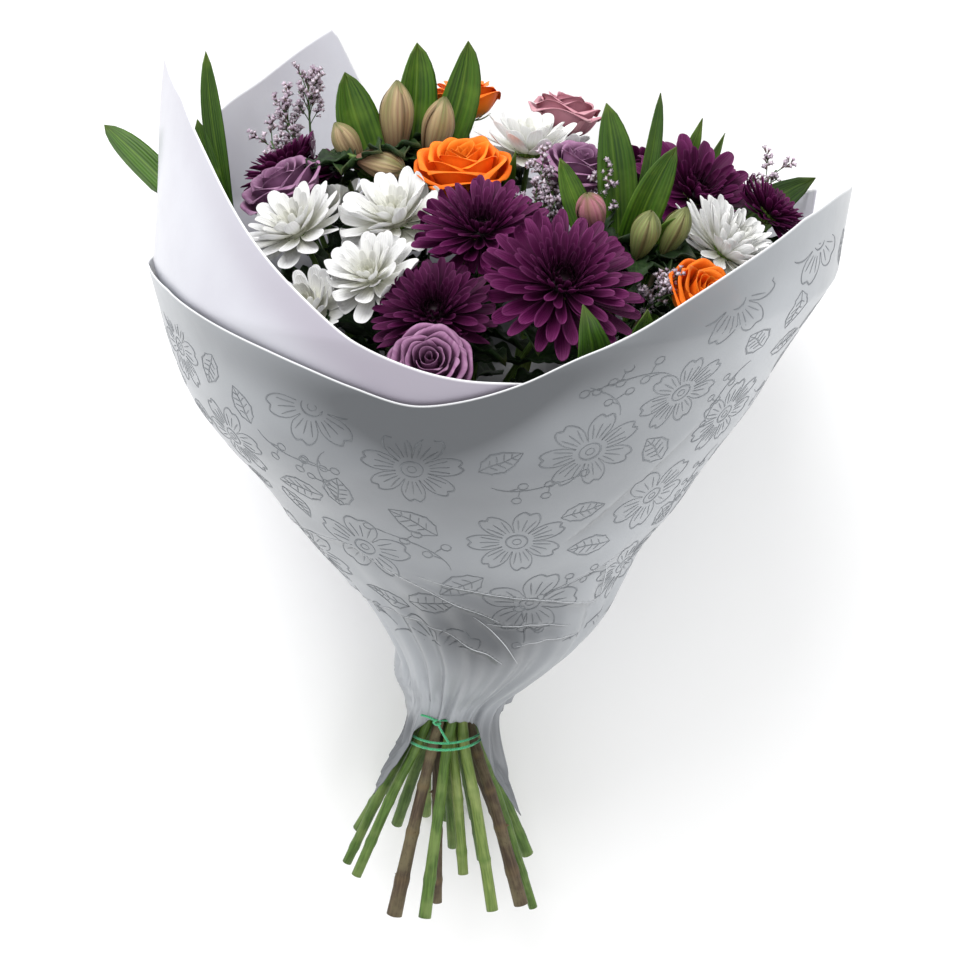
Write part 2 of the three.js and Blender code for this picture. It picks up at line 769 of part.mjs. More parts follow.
for (const [index, tiePlace] of places.entries()) {
  const stem = STEMS[stemOfPlace[index]];
  const foot = FEET[footOfPlace[index]];
  const aim = aimOf(stem);
  const single = stem.heads && stem.heads.length === 1 && !stem.fork;
  const top = single || !stem.heads ? aim : tiePlace.clone().lerp(aim, stem.fork);
  const arrive = single ? facingOf(stem.heads[0]) : aim.clone().sub(tiePlace).normalize();
  if (single) top.addScaledVector(arrive, -GAP);
  const curve = wholeStem(tiePlace, foot, top, arrive);
  const total = curve.getLength();
  const below = vec(foot.at).distanceTo(tiePlace) / total;
  const tieRadius = stem.slim ? SLIM_STEM_RADIUS_AT_TIE : STEM_RADIUS_AT_TIE;
  const topRadius = single ? STEM_TOP_RADIUS : FORK_RADIUS;
  const thick = (along) =>
    along < below
      ? mix(tieRadius, foot.radius, (1 - along / below) ** FOOT_FLARE)
      : mix(tieRadius, topRadius, (along - below) / (1 - below));
  const shares = [0, 0.5 * below, below, ...RISE_SHARES.map((share) => mix(below, 1, share))];
  const parts = [tube(curve, thick, 6, shares)];
  const fork = curve.getPointAt(0.985);
  stem.branches = [];
  if (!single && stem.heads) {
    for (const head of stem.heads) {
      const facing = facingOf(head);
      const end = footOf(head, head.form).addScaledVector(facing, -GAP);
      const branch = new THREE.CubicBezierCurve3(
        fork,
        fork.clone().lerp(end, 0.45).addScaledVector(arrive, 14),
        end.clone().addScaledVector(facing, -fork.distanceTo(end) * 0.35),
        end,
      );
      stem.branches.push(branch);
      parts.push(tube(branch, () => BRANCH_RADIUS, 5, evenly(4)));
    }
  }
  for (const bud of stem.buds ?? []) {
    const budFoot = vec(LILY_BUDS[bud].foot);
    const back = vec(LILY_BUDS[bud].tip).sub(budFoot).normalize();
    const end = budFoot.addScaledVector(back, -GAP);
    const bend = end.clone().addScaledVector(back, -8);
    const pedicel = new THREE.QuadraticBezierCurve3(fork, bend, end);
    parts.push(tube(pedicel, () => BRANCH_RADIUS, 5, evenly(2)));
  }
  stem.line = shares.map((share) => ({ at: curve.getPointAt(share), radius: thick(share) }));
  stem.curve = curve;
  stem.parts = parts;
  for (const solid of parts) place(stem.name, solid);
}

// How far the bunch of stems reaches from the axis at a height.
function bunchRadius(height) {
  const reaches = STEMS.map(({ line }) => {
    const above = clamp(line.findIndex(({ at }) => at.z > height), 1, line.length - 1);
    const [low, high] = [line[above - 1], line[above]];
    const share = clamp((height - low.at.z) / (high.at.z - low.at.z), 0, 1);
    const middle = low.at.clone().lerp(high.at, share);
    return Math.hypot(middle.x, middle.y) + mix(low.radius, high.radius, share);
  });
  return Math.max(...reaches);
}

// ---- Twine: one cord wound three times round the stems ----

function twineSolid(slack) {
  const turns = TWINE_LOOPS.length;
  const steps = 14;
  const last = turns * steps - 2;
  const points = [];
  for (let i = 0; i <= last; i++) {
    const turn = i / steps;
    const loop = Math.min(Math.floor(turn), turns - 1);
    const next = Math.min(loop + 1, turns - 1);
    const drop = THREE.MathUtils.smoothstep(turn - loop, 0.6, 1);
    const around = turn * 2 * Math.PI;
    const height = mix(TWINE_LOOPS[loop], TWINE_LOOPS[next], drop) + TWINE_WAVE * Math.cos(around);
    const reach = (bunchRadius(height) + TWINE_RADIUS) / Math.cos(Math.PI / steps) + slack;
    const point = new THREE.Vector3(reach, 0, height);
    points.push(point.applyAxisAngle(new THREE.Vector3(0, 0, 1), around + rad(TWINE_START)));
  }
  const cord = new THREE.CatmullRomCurve3(points);
  return tube(cord, () => TWINE_RADIUS, 4, evenly(last), new THREE.Vector3(0, 0, 1));
}

// The twine is drawn as tight as the stems allow.
function makeTwine() {
  const name = "twine_tie";
  const slacks = Array.from({ length: 120 }, (_, i) => 0.02 * i);
  const body = firstClear(name, slacks, twineSolid);
  place(name, body);
  addMesh(name, body, TWINE_GREEN);
}
makeTwine();

// ---- Wrapper ----

const GATHER_TOP = 40; // below this height the sheets are gathered round the stems
const ROOM_FOR_TWINE = 4.4; // kept between the stems and the outer sheet there

function filmPoint(around, height, inset) {
  const turn = rad(around);
  const middle = readOff(FILM_PROFILE, height, 1);
  const flare = readOff(FILM_FLARE, ((around % 360) + 360) % 360, 1) * Math.max(height - FILM_BEND, 0);
  const softness = mix(2.6, 0.9, THREE.MathUtils.smoothstep(height, 10, 120));
  const pleats = softness * (0.7 * Math.sin(7 * turn + 0.02 * height) + 0.4 * Math.sin(4 * turn + 1.3));
  const radius = readOff(FILM_PROFILE, height, 2) + flare + pleats;
  let x = middle + radius * Math.cos(turn);
  const behind =
    THREE.MathUtils.smoothstep(Math.sin(turn), 0.2, 0.8) * THREE.MathUtils.smoothstep(height, 60, 140);
  let y = radius * Math.sin(turn) * (1 + BACK_SWELL * behind);
  const least = bunchRadius(Math.min(height, GATHER_TOP)) + ROOM_FOR_TWINE;
  const reach = Math.hypot(x, y);
  if (height < GATHER_TOP && reach < least) {
    x *= least / reach;
    y *= least / reach;
  }
  const loose = inset * mix(1, 1.9, THREE.MathUtils.smoothstep(height, 150, 260));
  x -= loose * Math.cos(turn);
  y -= loose * Math.sin(turn);
  const surface = TIE_HEIGHT + height * Math.sin(rad(LAY_TILT)) - FILM_THICKNESS / 2;
  return new THREE.Vector3(x, Math.min(y, surface / Math.cos(rad(LAY_TILT))), height);
}

// Columns stand at each corner of either sheet's edges, and evenly between them, so that the two
// sheets bend in the same places where they lie on each other.
function sheetColumns(edges) {
  const corners = [...OUTER_SHEET, ...INNER_SHEET].flatMap(([around]) => [
    around % 360,
    (around % 360) + 360,
  ]);
  const sorted = [...new Set(corners)].sort((a, b) => a - b);
  const columns = [];
  sorted.forEach((corner, i) => {
    const gap = i > 0 ? corner - sorted[i - 1] : 0;
    const parts = Math.ceil(gap / SHEET_STEP);
    for (let k = 1; k < parts; k++) columns.push(mix(sorted[i - 1], corner, k / parts));
    columns.push(corner);
  });
  return columns.filter((around) => around >= edges[0][0] && around <= edges.at(-1)[0]);
}

function makeFilm(name, edges, inset, material) {
  const columns = sheetColumns(edges);
  const rows = SHEET_LEVELS.length + SHEET_TOP_ROWS;
  const pointAt = (across, along) => {
    const around = columns[Math.round(across * (columns.length - 1))];
    const row = Math.round(along * rows);
    const above = row - SHEET_LEVELS.length;
    if (row === 0) return [around, readOff(edges, around, 1)];
    if (above <= 0) return [around, SHEET_LEVELS[row - 1]];
    return [around, mix(SHEET_LEVELS.at(-1), readOff(edges, around, 2), above / SHEET_TOP_ROWS)];
  };
  const body = sheet(columns.length - 1, rows, FILM_THICKNESS, (across, along) => {
    const [around, height] = pointAt(across, along);
    const point = filmPoint(around, height, inset);
    const ahead = filmPoint(around + 1, height, inset).sub(filmPoint(around - 1, height, inset));
    const upward = filmPoint(around, height + 1, inset).sub(filmPoint(around, height - 1, inset));
    return { point, normal: ahead.cross(upward).normalize() };
  });
  place(name, body);
  addMesh(name, body, material);
}
makeFilm("outer_film_sheet", OUTER_SHEET, 0, FILM_GREY);
makeFilm("inner_film_sheet", INNER_SHEET, SHEET_SPACING, FILM_WHITE);

// ---- Heads ----

LILY_BUDS.forEach((bud, i) => makeLilyBud(`alstroemeria_bud_${i + 1}`, bud));
const KINDS = [
  ["orange_rose", ORANGE_ROSES, ROSE, ORANGE_PETAL],
  ["mauve_rose", MAUVE_ROSES, ROSE, MAUVE_PETAL],
  ["pink_rose", PINK_ROSES, ROSE, PINK_PETAL],
  ["purple_chrysanthemum", PURPLE_BLOOMS, PURPLE_DAISY, PURPLE_PETAL],
  ["white_chrysanthemum", WHITE_BLOOMS, WHITE_DAISY, WHITE_PETAL],
];
for (const [kind, blooms, form, material] of KINDS) {
  blooms.forEach((bloom, i) => makeBloom(`${kind}_${i + 1}`, bloom, form, material));
}

// ---- Leaves ----

// The stem, the branch of it or none, the share of the length where the leaf starts, its tip,
// half its width, and how far its middle bows off the straight line.
const LEAVES = [
  { stem: "alstroemeria_stem_1", start: 0.955, tip: [-50, 20, 351], half: 9, bow: [-6, 0, 0] },
  { stem: "alstroemeria_stem_1", start: 0.97, tip: [-13, 31, 364], half: 8, bow: [6, 8, 0] },
  { stem: "alstroemeria_stem_1", start: 0.96, tip: [13, 26, 366], half: 7.5, bow: [16, 6, -4] },
  { stem: "alstroemeria_stem_2", start: 0.97, tip: [81, -42, 348], half: 8, bow: [-3, 4, 0] },
  { stem: "alstroemeria_stem_2", start: 0.98, tip: [108, -32, 351], half: 4, bow: [4, 4, 0] },
  { stem: "alstroemeria_stem_2", start: 0.96, tip: [114, -62, 331], half: 7, bow: [-8, -8, 4] },
  { stem: "alstroemeria_stem_2", start: 0.97, tip: [58, -48, 322], half: 6, bow: [-2, -6, 0] },
  { stem: "alstroemeria_stem_2", start: 0.76, tip: [66, -163, 281], half: 8, bow: [14, -58, -24] },
  { stem: "alstroemeria_stem_2", start: 0.84, tip: [98, -134, 269], half: 6, bow: [0, -30, -18] },
  { stem: "alstroemeria_stem_3", start: 0.98, tip: [-122, 8, 364], half: 7, bow: [-6, 0, 0] },
  { stem: "alstroemeria_stem_3", start: 0.97, tip: [-127, 20, 324], half: 7, bow: [-6, 4, 4] },
  { stem: "alstroemeria_stem_3", start: 0.95, tip: [-181, 66, 325], half: 7, bow: [-14, 14, 16] },
  { stem: "purple_spray_stem_2", branch: 0, start: 0.8, tip: [137, 62, 318], half: 6, bow: [0, 6, 0] },
  { stem: "purple_spray_stem_2", branch: 0, start: 0.7, tip: [150, 72, 308], half: 5, bow: [0, 6, 0] },
  { stem: "purple_spray_stem_2", branch: 1, start: 0.7, tip: [197, 54, 288], half: 9, bow: [-4, 8, 8] },
  { stem: "white_spray_stem_3", branch: 0, start: 0.85, tip: [37, -33, 322], half: 5, bow: [0, 0, -6] },
];

// Ways to push the middle of a curve aside, the smallest first.
function pushes(xs, ys, zs, step) {
  const all = xs.flatMap((x) => ys.flatMap((y) => zs.map((z) => [x * step, y * step, z * step])));
  return all.sort((a, b) => Math.hypot(...a) - Math.hypot(...b));
}
const LEAF_TRIES = pushes([0, -1, 1, -2, 2], [0, -1, 1, -2, 2], [0, 1, -1, 2], 7);

function stemNamed(name) {
  return STEMS.find((stem) => stem.name === name);
}

const LEAF_FOOT_HALF = 1.6;

// A leaf swells past its foot and narrows to a point.
function leafWidth(half, footHalf) {
  return (along) => {
    if (along > 0.99) return 0;
    return Math.max(half * Math.sin(Math.PI * along ** 0.8), footHalf * (1 - along));
  };
}

function leafSolid(start, tip, half, bow, sides) {
  const middle = start.clone().lerp(tip, 0.5).add(bow);
  const curve = new THREE.QuadraticBezierCurve3(start, middle, tip);
  const upward = new THREE.Vector3(0, -1, 0.2).normalize();
  return blade(curve, upward, leafWidth(half, LEAF_FOOT_HALF), sides);
}

function addGreen(stem, solid) {
  stem.parts.push(solid);
  place(stem.name, solid);
}

for (const leaf of LEAVES) {
  const stem = stemNamed(leaf.stem);
  const curve = leaf.branch === undefined ? stem.curve : stem.branches[leaf.branch];
  const start = curve.getPointAt(leaf.start);
  const solid = firstClear(stem.name, LEAF_TRIES, (push) =>
    leafSolid(start, vec(leaf.tip), leaf.half, vec(leaf.bow).add(vec(push)), 4),
  );
  if (solid) addGreen(stem, solid);
}

// ---- Limonium ----

// Middles of the clusters of florets, and the share of the stem where their branch leaves it.
const CLUSTERS = {
  limonium_spray_1: [
    { at: [-72, 70, 333], from: 0.985, size: 16 },
    { at: [-85, 70, 323], from: 0.9, size: 13 },
    { at: [-92, 66, 306], from: 0.8, size: 14 },
  ],
  limonium_spray_2: [
    { at: [46, -55, 303], from: 0.9, size: 15 },
    { at: [78, -44, 309], from: 0.985, size: 14 },
    { at: [108, -100, 271], from: 0.86, size: 15 },
    { at: [177, 62, 290], from: 0.8, size: 16 },
  ],
};
const TWIGS = 5;
// Beads of florets along a twig: share of the length, radius.
const TWIG_BEADS = [
  [0, 0.6],
  [0.42, 1.7],
  [0.64, 0.7],
  [0.82, 1.9],
  [1, 0],
];

function twigSolid(foot, tip) {
  const curve = new THREE.LineCurve3(foot, tip);
  const shares = TWIG_BEADS.map(([share]) => share);
  return tube(curve, (along) => readOff(TWIG_BEADS, along, 1), 3, shares);
}

const CLUSTER_TRIES = pushes([-1, 0, 1], [-1, 0, 1], [0, 1], 14);
const FLORET_BRANCH_RADIUS = 0.9;

for (const [name, clusters] of Object.entries(CLUSTERS)) {
  const stem = stemNamed(name);
  const draw = draws(7);
  for (const cluster of clusters) {
    const start = stem.curve.getPointAt(cluster.from);
    const end = vec(cluster.at);
    const lowest = start.clone().lerp(end, 0.5).add(new THREE.Vector3(0, 0, -6));
    let branch;
    const solid = firstClear(name, CLUSTER_TRIES, (push) => {
      branch = new THREE.QuadraticBezierCurve3(start, lowest.clone().add(vec(push)), end);
      return tube(branch, () => FLORET_BRANCH_RADIUS, 4, evenly(3));
    });
    if (!solid) continue;
    addGreen(stem, solid);
    const ahead = branch.getTangentAt(1);
    const aside = ahead.clone().cross(crossAxis(branch)).normalize();
    for (let i = 0; i < TWIGS; i++) {
      const foot = branch.getPointAt(0.99 - 0.07 * i);
      const way = aside.clone().applyAxisAngle(ahead, i * rad(137.5));
      way.multiplyScalar(0.9).addScaledVector(ahead, 0.9);
      way.z += 0.5;
      const twig = firstClear(name, [1, 0.85, 0.7, 0.5], (kept) => {
        const length = cluster.size * kept * (0.62 + 0.12 * draw());
        return twigSolid(foot, foot.clone().addScaledVector(way, length));
      });
      if (twig) addGreen(stem, twig);
    }
  }
}

// ---- Dark foliage under the heads ----

const FILLER_LENGTH = 40;
const FILLER_HALF = 8;
const FILLER_SHARE = 0.65; // of the branch, where its leaf grows
const FILLER_TURNS = [0, 50, -50, 100, -100, 150]; // degrees round the branch that it tries

for (const [s, stem] of STEMS.entries()) {
  const draw = draws(31 + s);
  stem.branches.forEach((branch, b) => {
    const start = branch.getPointAt(FILLER_SHARE);
    const base = 137.5 * (b + s) + 60 * draw();
    const solid = firstClear(stem.name, FILLER_TURNS, (turn) => {
      const around = rad(base + turn);
      const way = new THREE.Vector3(Math.cos(around), Math.sin(around), 0.025);
      const tip = start.clone().addScaledVector(way, FILLER_LENGTH);
      return leafSolid(start, tip, FILLER_HALF, new THREE.Vector3(0, 0, 6), 3);
    });
    if (solid) addGreen(stem, solid);
  });
}

for (const stem of STEMS) {
  const material = stem.florets ? FLORET_LILAC : stem.brown ? STEM_BROWN : STEM_GREEN;
  addMesh(stem.name, fuse(stem.parts), material);
}

// ---- Laying it down, with the middle of its outline over the origin ----

bouquet.rotation.x = -rad(90 - LAY_TILT);
bouquet.position.z = TIE_HEIGHT;
const outline = new THREE.Box3().setFromObject(bouquet, true).getCenter(new THREE.Vector3());
bouquet.position.x = -outline.x;
bouquet.position.y = -outline.y;
const part = new THREE.Group();
part.add(bouquet);

export default part;
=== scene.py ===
"""Looks of a hand-tied mixed bouquet in a wrapper of two film sheets, lying on its back.

Everything is drawn in the bouquet's own upright frame, in millimetres: the origin is the middle of
the tie, +Z runs along the bunch to the heads, -Y is the show side and +X is to the right of it.
LAID turns that frame onto its back, in metres.
"""

import json
import math
import random

import bmesh
import bpy
from mathutils import Matrix, Vector, noise


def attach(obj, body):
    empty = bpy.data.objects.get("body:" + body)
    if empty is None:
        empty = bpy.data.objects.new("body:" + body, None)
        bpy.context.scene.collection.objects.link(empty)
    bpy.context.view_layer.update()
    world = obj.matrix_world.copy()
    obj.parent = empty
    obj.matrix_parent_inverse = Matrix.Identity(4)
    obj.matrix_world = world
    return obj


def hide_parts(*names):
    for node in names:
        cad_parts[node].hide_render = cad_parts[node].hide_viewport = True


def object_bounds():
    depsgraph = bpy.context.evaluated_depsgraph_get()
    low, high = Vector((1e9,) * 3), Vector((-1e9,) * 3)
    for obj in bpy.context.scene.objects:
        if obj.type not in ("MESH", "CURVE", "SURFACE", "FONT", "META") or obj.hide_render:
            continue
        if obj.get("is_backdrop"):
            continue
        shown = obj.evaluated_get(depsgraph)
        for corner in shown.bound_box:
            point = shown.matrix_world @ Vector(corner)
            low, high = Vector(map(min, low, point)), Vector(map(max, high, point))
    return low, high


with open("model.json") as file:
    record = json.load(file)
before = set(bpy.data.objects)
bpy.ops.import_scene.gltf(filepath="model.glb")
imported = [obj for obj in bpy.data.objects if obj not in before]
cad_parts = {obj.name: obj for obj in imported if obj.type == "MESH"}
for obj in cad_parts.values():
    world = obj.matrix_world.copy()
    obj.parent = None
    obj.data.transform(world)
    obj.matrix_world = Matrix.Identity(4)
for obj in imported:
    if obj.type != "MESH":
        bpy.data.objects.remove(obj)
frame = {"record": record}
cad_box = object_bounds()

LAY_TILT = 20
TIE_HEIGHT = 75
TIE = Vector((-0.012012, -0.137762, 0.001 * TIE_HEIGHT))
LAID = (
    Matrix.Translation(TIE)
    @ Matrix.Rotation(math.radians(LAY_TILT - 90), 4, "X")
    @ Matrix.Scale(0.001, 4)
)

# ---- Where the heads sit ----

FACING_FROM = Vector((20, 10, 110))

# Kind of bloom, middle, radius, for a few the way that it faces, and how pale it is painted: partly the
# bloom's own tone, partly painted shade, as on the dark third purple bloom.
PURPLE_BLOOMS = [
    ("fine", (59, -119, 282), 39, None, 0.55),
    ("fine", (20, -76, 297), 34, None, 0.6),
    ("fine", (-3, -116, 266), 30, None, 0.0),
    ("broad", (134, 27, 289), 35, (0.42, -0.4, 0.8), 0.8),
    ("fine", (172, 16, 280), 27, None, 0.7),
    ("fine", (-83, 44, 299), 27, None, 0.6),
    ("fine", (-54, 44, 300), 24, None, 0.5),
    ("broad", (104, 84, 284), 32, None, 0.8),
]
WHITE_BLOOMS = [
    ("white", (-73, -46, 288), 30, None, 0.7),
    ("white", (-23, -46, 294), 33, None, 0.8),
    ("white", (-34, -92, 276), 26, None, 0.5),
    ("crumpled", (-64, -91, 260), 24, None, 0.6),
    ("white", (45, 12, 316), 33, None, 0.9),
    ("quilled", (144, -42, 277), 32, None, 0.8),
    ("white", (18, 108, 278), 30, None, 0.6),
    ("white", (-60, 98, 262), 30, None, 0.6),
]
ROSES = {
    "orange_rose": [
        ((11, -26, 311), 25, None),
        ((11, 60, 329), 19, None),
        ((126, -98, 266), 20, None),
    ],
    "mauve_rose": [
        ((-4, -146, 247), 20, (-0.05, -0.72, 0.69)),
        ((69, -24, 310), 22, None),
        ((-80, -6, 296), 23, None),
    ],
    "pink_rose": [((64, 48, 323), 20, None)],
}
DAISY_BEHIND = 0.3
ROSE_BEHIND = 0.62
# Foot, tip and radius.
LILY_BUDS = [
    ((-24, 20, 306), (-23, 20, 345), 9),
    ((-7, 20, 303), (1, 14, 338), 8.5),
    ((-42, 12, 303), (-54, 10, 326), 7),
    ((-43, -5, 312), (-19, -14, 308), 8),
    ((76, -66, 289), (71, -74, 310), 7.4),
    ((95, -76, 279), (101, -86, 304), 7.2),
    ((108, -62, 276), (119, -67, 301), 6.6),
]


def facing_of(at, facing):
    return (Vector(facing) if facing else Vector(at) - FACING_FROM).normalized()


def head_of(at, radius, facing, behind):
    """Where the stem meets a head, and the way that the head faces."""
    way = facing_of(at, facing)
    return Vector(at) - way * behind * radius, way


def spot_at(origin, facing, spin=0.0):
    turn = Vector((0, 0, 1)).rotation_difference(facing).to_matrix().to_4x4()
    return Matrix.Translation(origin) @ turn @ Matrix.Rotation(spin, 4, "Z")


# ---- Small helpers ----


def mix(a, b, share):
    return a + (b - a) * share


def clamp(value, low=0.0, high=1.0):
    return max(low, min(high, value))


def smooth(value, low=0.0, high=1.0):
    share = clamp((value - low) / (high - low))
    return share * share * (3 - 2 * share)


def bell(distance, width):
    return math.exp(-((distance / width) ** 2))


def polar(radius, around, height=0.0):
    return Vector((radius * math.cos(around), radius * math.sin(around), height))


def curve_through(points, steps):
    """The points of a Bezier curve, in equal steps."""
    return [bezier(points, k / steps) for k in range(steps + 1)]


def add_object(name, data):
    made = bpy.data.objects.new(name, data)
    bpy.context.scene.collection.objects.link(made)
    return made


def read_off(table, place, column=1):
    """The value of a column at a place between the rows of a table."""
    if place <= table[0][0]:
        return table[0][column]
    for low, high in zip(table, table[1:]):
        if place <= high[0]:
            return mix(low[column], high[column], (place - low[0]) / (high[0] - low[0]))
    return table[-1][column]


def read_curve(table, place, column=1, corners=()):
    """The same on a smooth curve through the rows, with a kink at the rows in corners."""
    if place <= table[0][0]:
        return table[0][column]
    if place >= table[-1][0]:
        return table[-1][column]
    i = next(k for k in range(1, len(table)) if place <= table[k][0]) - 1
    low, high = table[i], table[i + 1]
    gap = high[0] - low[0]
    slope = (high[column] - low[column]) / gap

    def lean(k):
        if k in (0, len(table) - 1) or table[k][0] in corners:
            return slope
        before, after = table[k - 1], table[k + 1]
        return (after[column] - before[column]) / (after[0] - before[0])

    t = (place - low[0]) / gap
    return (
        (2 * t**3 - 3 * t**2 + 1) * low[column]
        + (t**3 - 2 * t**2 + t) * gap * lean(i)
        + (3 * t**2 - 2 * t**3) * high[column]
        + (t**3 - t**2) * gap * lean(i + 1)
    )


def bezier(points, share):
    points = list(points)
    while len(points) > 1:
        points = [a.lerp(b, share) for a, b in zip(points, points[1:])]
    return points[0]


def line_through(points, steps):
    """A smooth line through a few points."""
    points = [Vector(p) for p in points]
    ends = [points[0] * 2 - points[1], *points, points[-1] * 2 - points[-2]]
    line = [points[0]]
    for a, b, c, d in zip(ends, ends[1:], ends[2:], ends[3:]):
        for k in range(1, steps + 1):
            t = k / steps
            line.append(
                0.5
                * (
                    2 * b
                    + (c - a) * t
                    + (2 * a - 5 * b + 4 * c - d) * t * t
                    + (3 * b - a - 3 * c + d) * t**3
                )
            )
    return line


def lengths_along(line):
    total = [0.0]
    for a, b in zip(line, line[1:]):
        total.append(total[-1] + (b - a).length)
    return total


def point_on(line, share):
    total = lengths_along(line)
    want = share * total[-1]
    for k in range(1, len(line)):
        if total[k] >= want:
            return line[k - 1].lerp(line[k], (want - total[k - 1]) / (total[k] - total[k - 1]))
    return line[-1].copy()


def frames_along(line):
    """A frame at each point of a line, with +Z ahead and as little turn as the line allows."""
    frames = []
    side = None
    for k, point in enumerate(line):
        ahead = (line[min(k + 1, len(line) - 1)] - line[max(k - 1, 0)]).normalized()
        side = ahead.orthogonal() if side is None else side - ahead * side.dot(ahead)
        side.normalize()
        turn = Matrix((side, ahead.cross(side), ahead)).transposed().to_4x4()
        frames.append(Matrix.Translation(point) @ turn)
    return frames


# ---- Materials ----


def colour(code):
    """A linear colour from the six digits of a screen colour."""
    parts = [int(code[k : k + 2], 16) / 255 for k in (0, 2, 4)]
    return (*[p / 12.92 if p <= 0.04045 else ((p + 0.055) / 1.055) ** 2.4 for p in parts], 1.0)


def colours(codes):
    return [colour(code) for code in codes.split()]


class Wire:
    """A value in a material that arithmetic works on."""

    def __init__(self, finish, socket):
        self.finish = finish
        self.socket = socket

    def math(self, operation, *values):
        sockets = dict(enumerate((self, *values)))
        return self.finish.node("Math", {"operation": operation}, sockets)

    def __add__(self, other):
        return self.math("ADD", other)

    __radd__ = __add__

    def __mul__(self, other):
        return self.math("MULTIPLY", other)

    __rmul__ = __mul__

    def __sub__(self, other):
        return self.math("SUBTRACT", other)

    def __rsub__(self, other):
        return (self * -1) + other

    def sin(self):
        return self.math("SINE")

    def waves(self):
        """Stripes from 0 to 1."""
        return self.sin() * 0.5 + 0.5

    def abs(self):
        return self.math("ABSOLUTE")

    def ease(self, low, high):
        """0 at low, 1 at high, smooth between."""
        settings = {"interpolation_type": "SMOOTHSTEP"}
        return self.finish.node("MapRange", settings, {"Value": self, "From Min": low, "From Max": high})


class Finish:
    """A material under construction."""

    def __init__(self, name, **constants):
        self.material = bpy.data.materials.new(name)
        self.material.use_nodes = True
        self.tree = self.material.node_tree
        self.shader = self.tree.nodes["Principled BSDF"]
        for key, value in constants.items():
            self.shader.inputs[key.replace("_", " ")].default_value = value

    def join(self, value, socket):
        if isinstance(value, Wire):
            self.tree.links.new(value.socket, socket)
        else:
            socket.default_value = value

    def node(self, kind, settings=None, sockets=None, out=0):
        made = self.tree.nodes.new("ShaderNode" + kind)
        for key, value in (settings or {}).items():
            setattr(made, key, value)
        for key, value in (sockets or {}).items():
            self.join(value, made.inputs[key])
        return Wire(self, made.outputs[out])

    def value(self, name, out="Fac"):
        return self.node("Attribute", {"attribute_name": name}, out=out)

    def values(self, *names):
        return [self.value(name) for name in names]

    def noise(self, scale, detail=3.0, vector=None):
        vector = vector or self.node("TexCoord", out="Object")
        sockets = {"Scale": scale, "Detail": detail, "Vector": vector}
        return self.node("TexNoise", None, sockets, out="Fac")

    def blend(self, share, low, high, kind="MIX"):
        settings = {"data_type": "RGBA", "blend_type": kind}
        return self.node("Mix", settings, {0: share, 6: low, 7: high}, out=2)

    def grid(self, x, y, z):
        return self.node("CombineXYZ", None, {"X": x, "Y": y, "Z": z})

    def paint(self, shade, rough=None, bump=None, strength=0.3, distance=0.0005):
        self.join(shade, self.shader.inputs["Base Color"])
        if rough is not None:
            self.join(rough, self.shader.inputs["Roughness"])
        if bump is not None:
            sockets = {"Height": bump, "Strength": strength, "Distance": distance}
            self.join(self.node("Bump", None, sockets), self.shader.inputs["Normal"])
        return self.material


def petal_finish(name, codes, vein=9.0, edge_from=0.6, low=0.72):
    """A petal: deep at its root and in the heart, pale along its edge, with fine veins."""
    deep, mid, pale = colours(codes)
    f = Finish(name, Roughness=0.5, Specular_IOR_Level=0.16)
    across, along, tint, heart = f.values("across", "along", "tint", "heart")
    streak = f.noise(1.0, 4.0, f.grid(across * 7, along * 1.6, tint * 40))
    veins = (across * vein).waves()
    body = f.blend(along.ease(-0.05, 0.75), deep, mid)
    edge = across.abs().ease(edge_from, 1.05) * 0.6 + along.ease(0.7, 1.0) * 0.45
    body = f.blend(edge * streak.ease(0.25, 0.7), body, pale)
    body = f.blend((1 - veins) * 0.16, body, deep)
    body = f.blend(heart * 0.85, body, deep)
    # The tint, random per petal and set per bloom by its paleness, darkens or lightens the petal; on a
    # bloom in shade it is a painted shade.
    lift = f.blend(tint * 0.65 + streak * 0.3, (low, low, low, 1), (1.18, 1.18, 1.18, 1))
    body = f.blend(1.0, body, lift, "MULTIPLY")
    return f.paint(body, bump=veins * 0.5 + streak, strength=0.35)


def leaf_finish(name, codes, rough=0.5, parallel=True):
    """A leaf with a pale midrib and veins along it, or veins that branch off sideways."""
    deep, mid, pale = colours(codes)
    f = Finish(name, Specular_IOR_Level=0.3)
    across, along, tint = f.values("across", "along", "tint")
    cloud = f.noise(55.0, 4.0)
    streak = f.noise(1.0, 3.0, f.grid(across * 9, along * 1.3, tint * 30))
    rib = 1 - across.abs().ease(0.02, 0.1)
    if parallel:
        veins = (across * 30).waves()
    else:
        veins = ((along * 42) - across.abs() * 9).sin().ease(0.75, 1.0)
    body = f.blend(streak.ease(0.3, 0.7), deep, mid)
    body = f.blend(cloud.ease(0.45, 0.75) * 0.35, body, pale)
    body = f.blend(veins * 0.16 + rib * 0.35, body, pale)
    body = f.blend(along.ease(0.9, 1.0) * 0.3, body, colour("5b5a2c"))
    lift = f.blend(tint, (0.7, 0.72, 0.7, 1), (1.25, 1.2, 1.1, 1))
    body = f.blend(1.0, body, lift, "MULTIPLY")
    return f.paint(body, cloud * 0.12 + rough, veins * 0.5 + rib + cloud * 0.4, 0.4)


def stem_finish(name, codes, rough=0.42, bark=0.0):
    """A stem with streaks along it; bark gives a woody stem its spots."""
    deep, mid, pale = colours(codes)
    f = Finish(name, Specular_IOR_Level=0.35)
    streak = f.noise(3.0, 5.0, f.value("grain", "Vector"))
    fleck = f.noise(900.0, 2.0).ease(0.6, 0.72)
    cloud = f.noise(70.0, 3.0)
    joint = f.value("joint")
    body = f.blend(streak.ease(0.3, 0.7), deep, mid)
    body = f.blend(cloud.ease(0.4, 0.7) * 0.5, body, pale)
    body = f.blend(fleck * bark, body, deep)
    body = f.blend(joint * 0.55, body, colour("6d5b3d") if bark else colour("4c6b2a"))
    return f.paint(body, cloud * 0.15 + rough, streak + fleck * bark, 0.6, 0.0006)


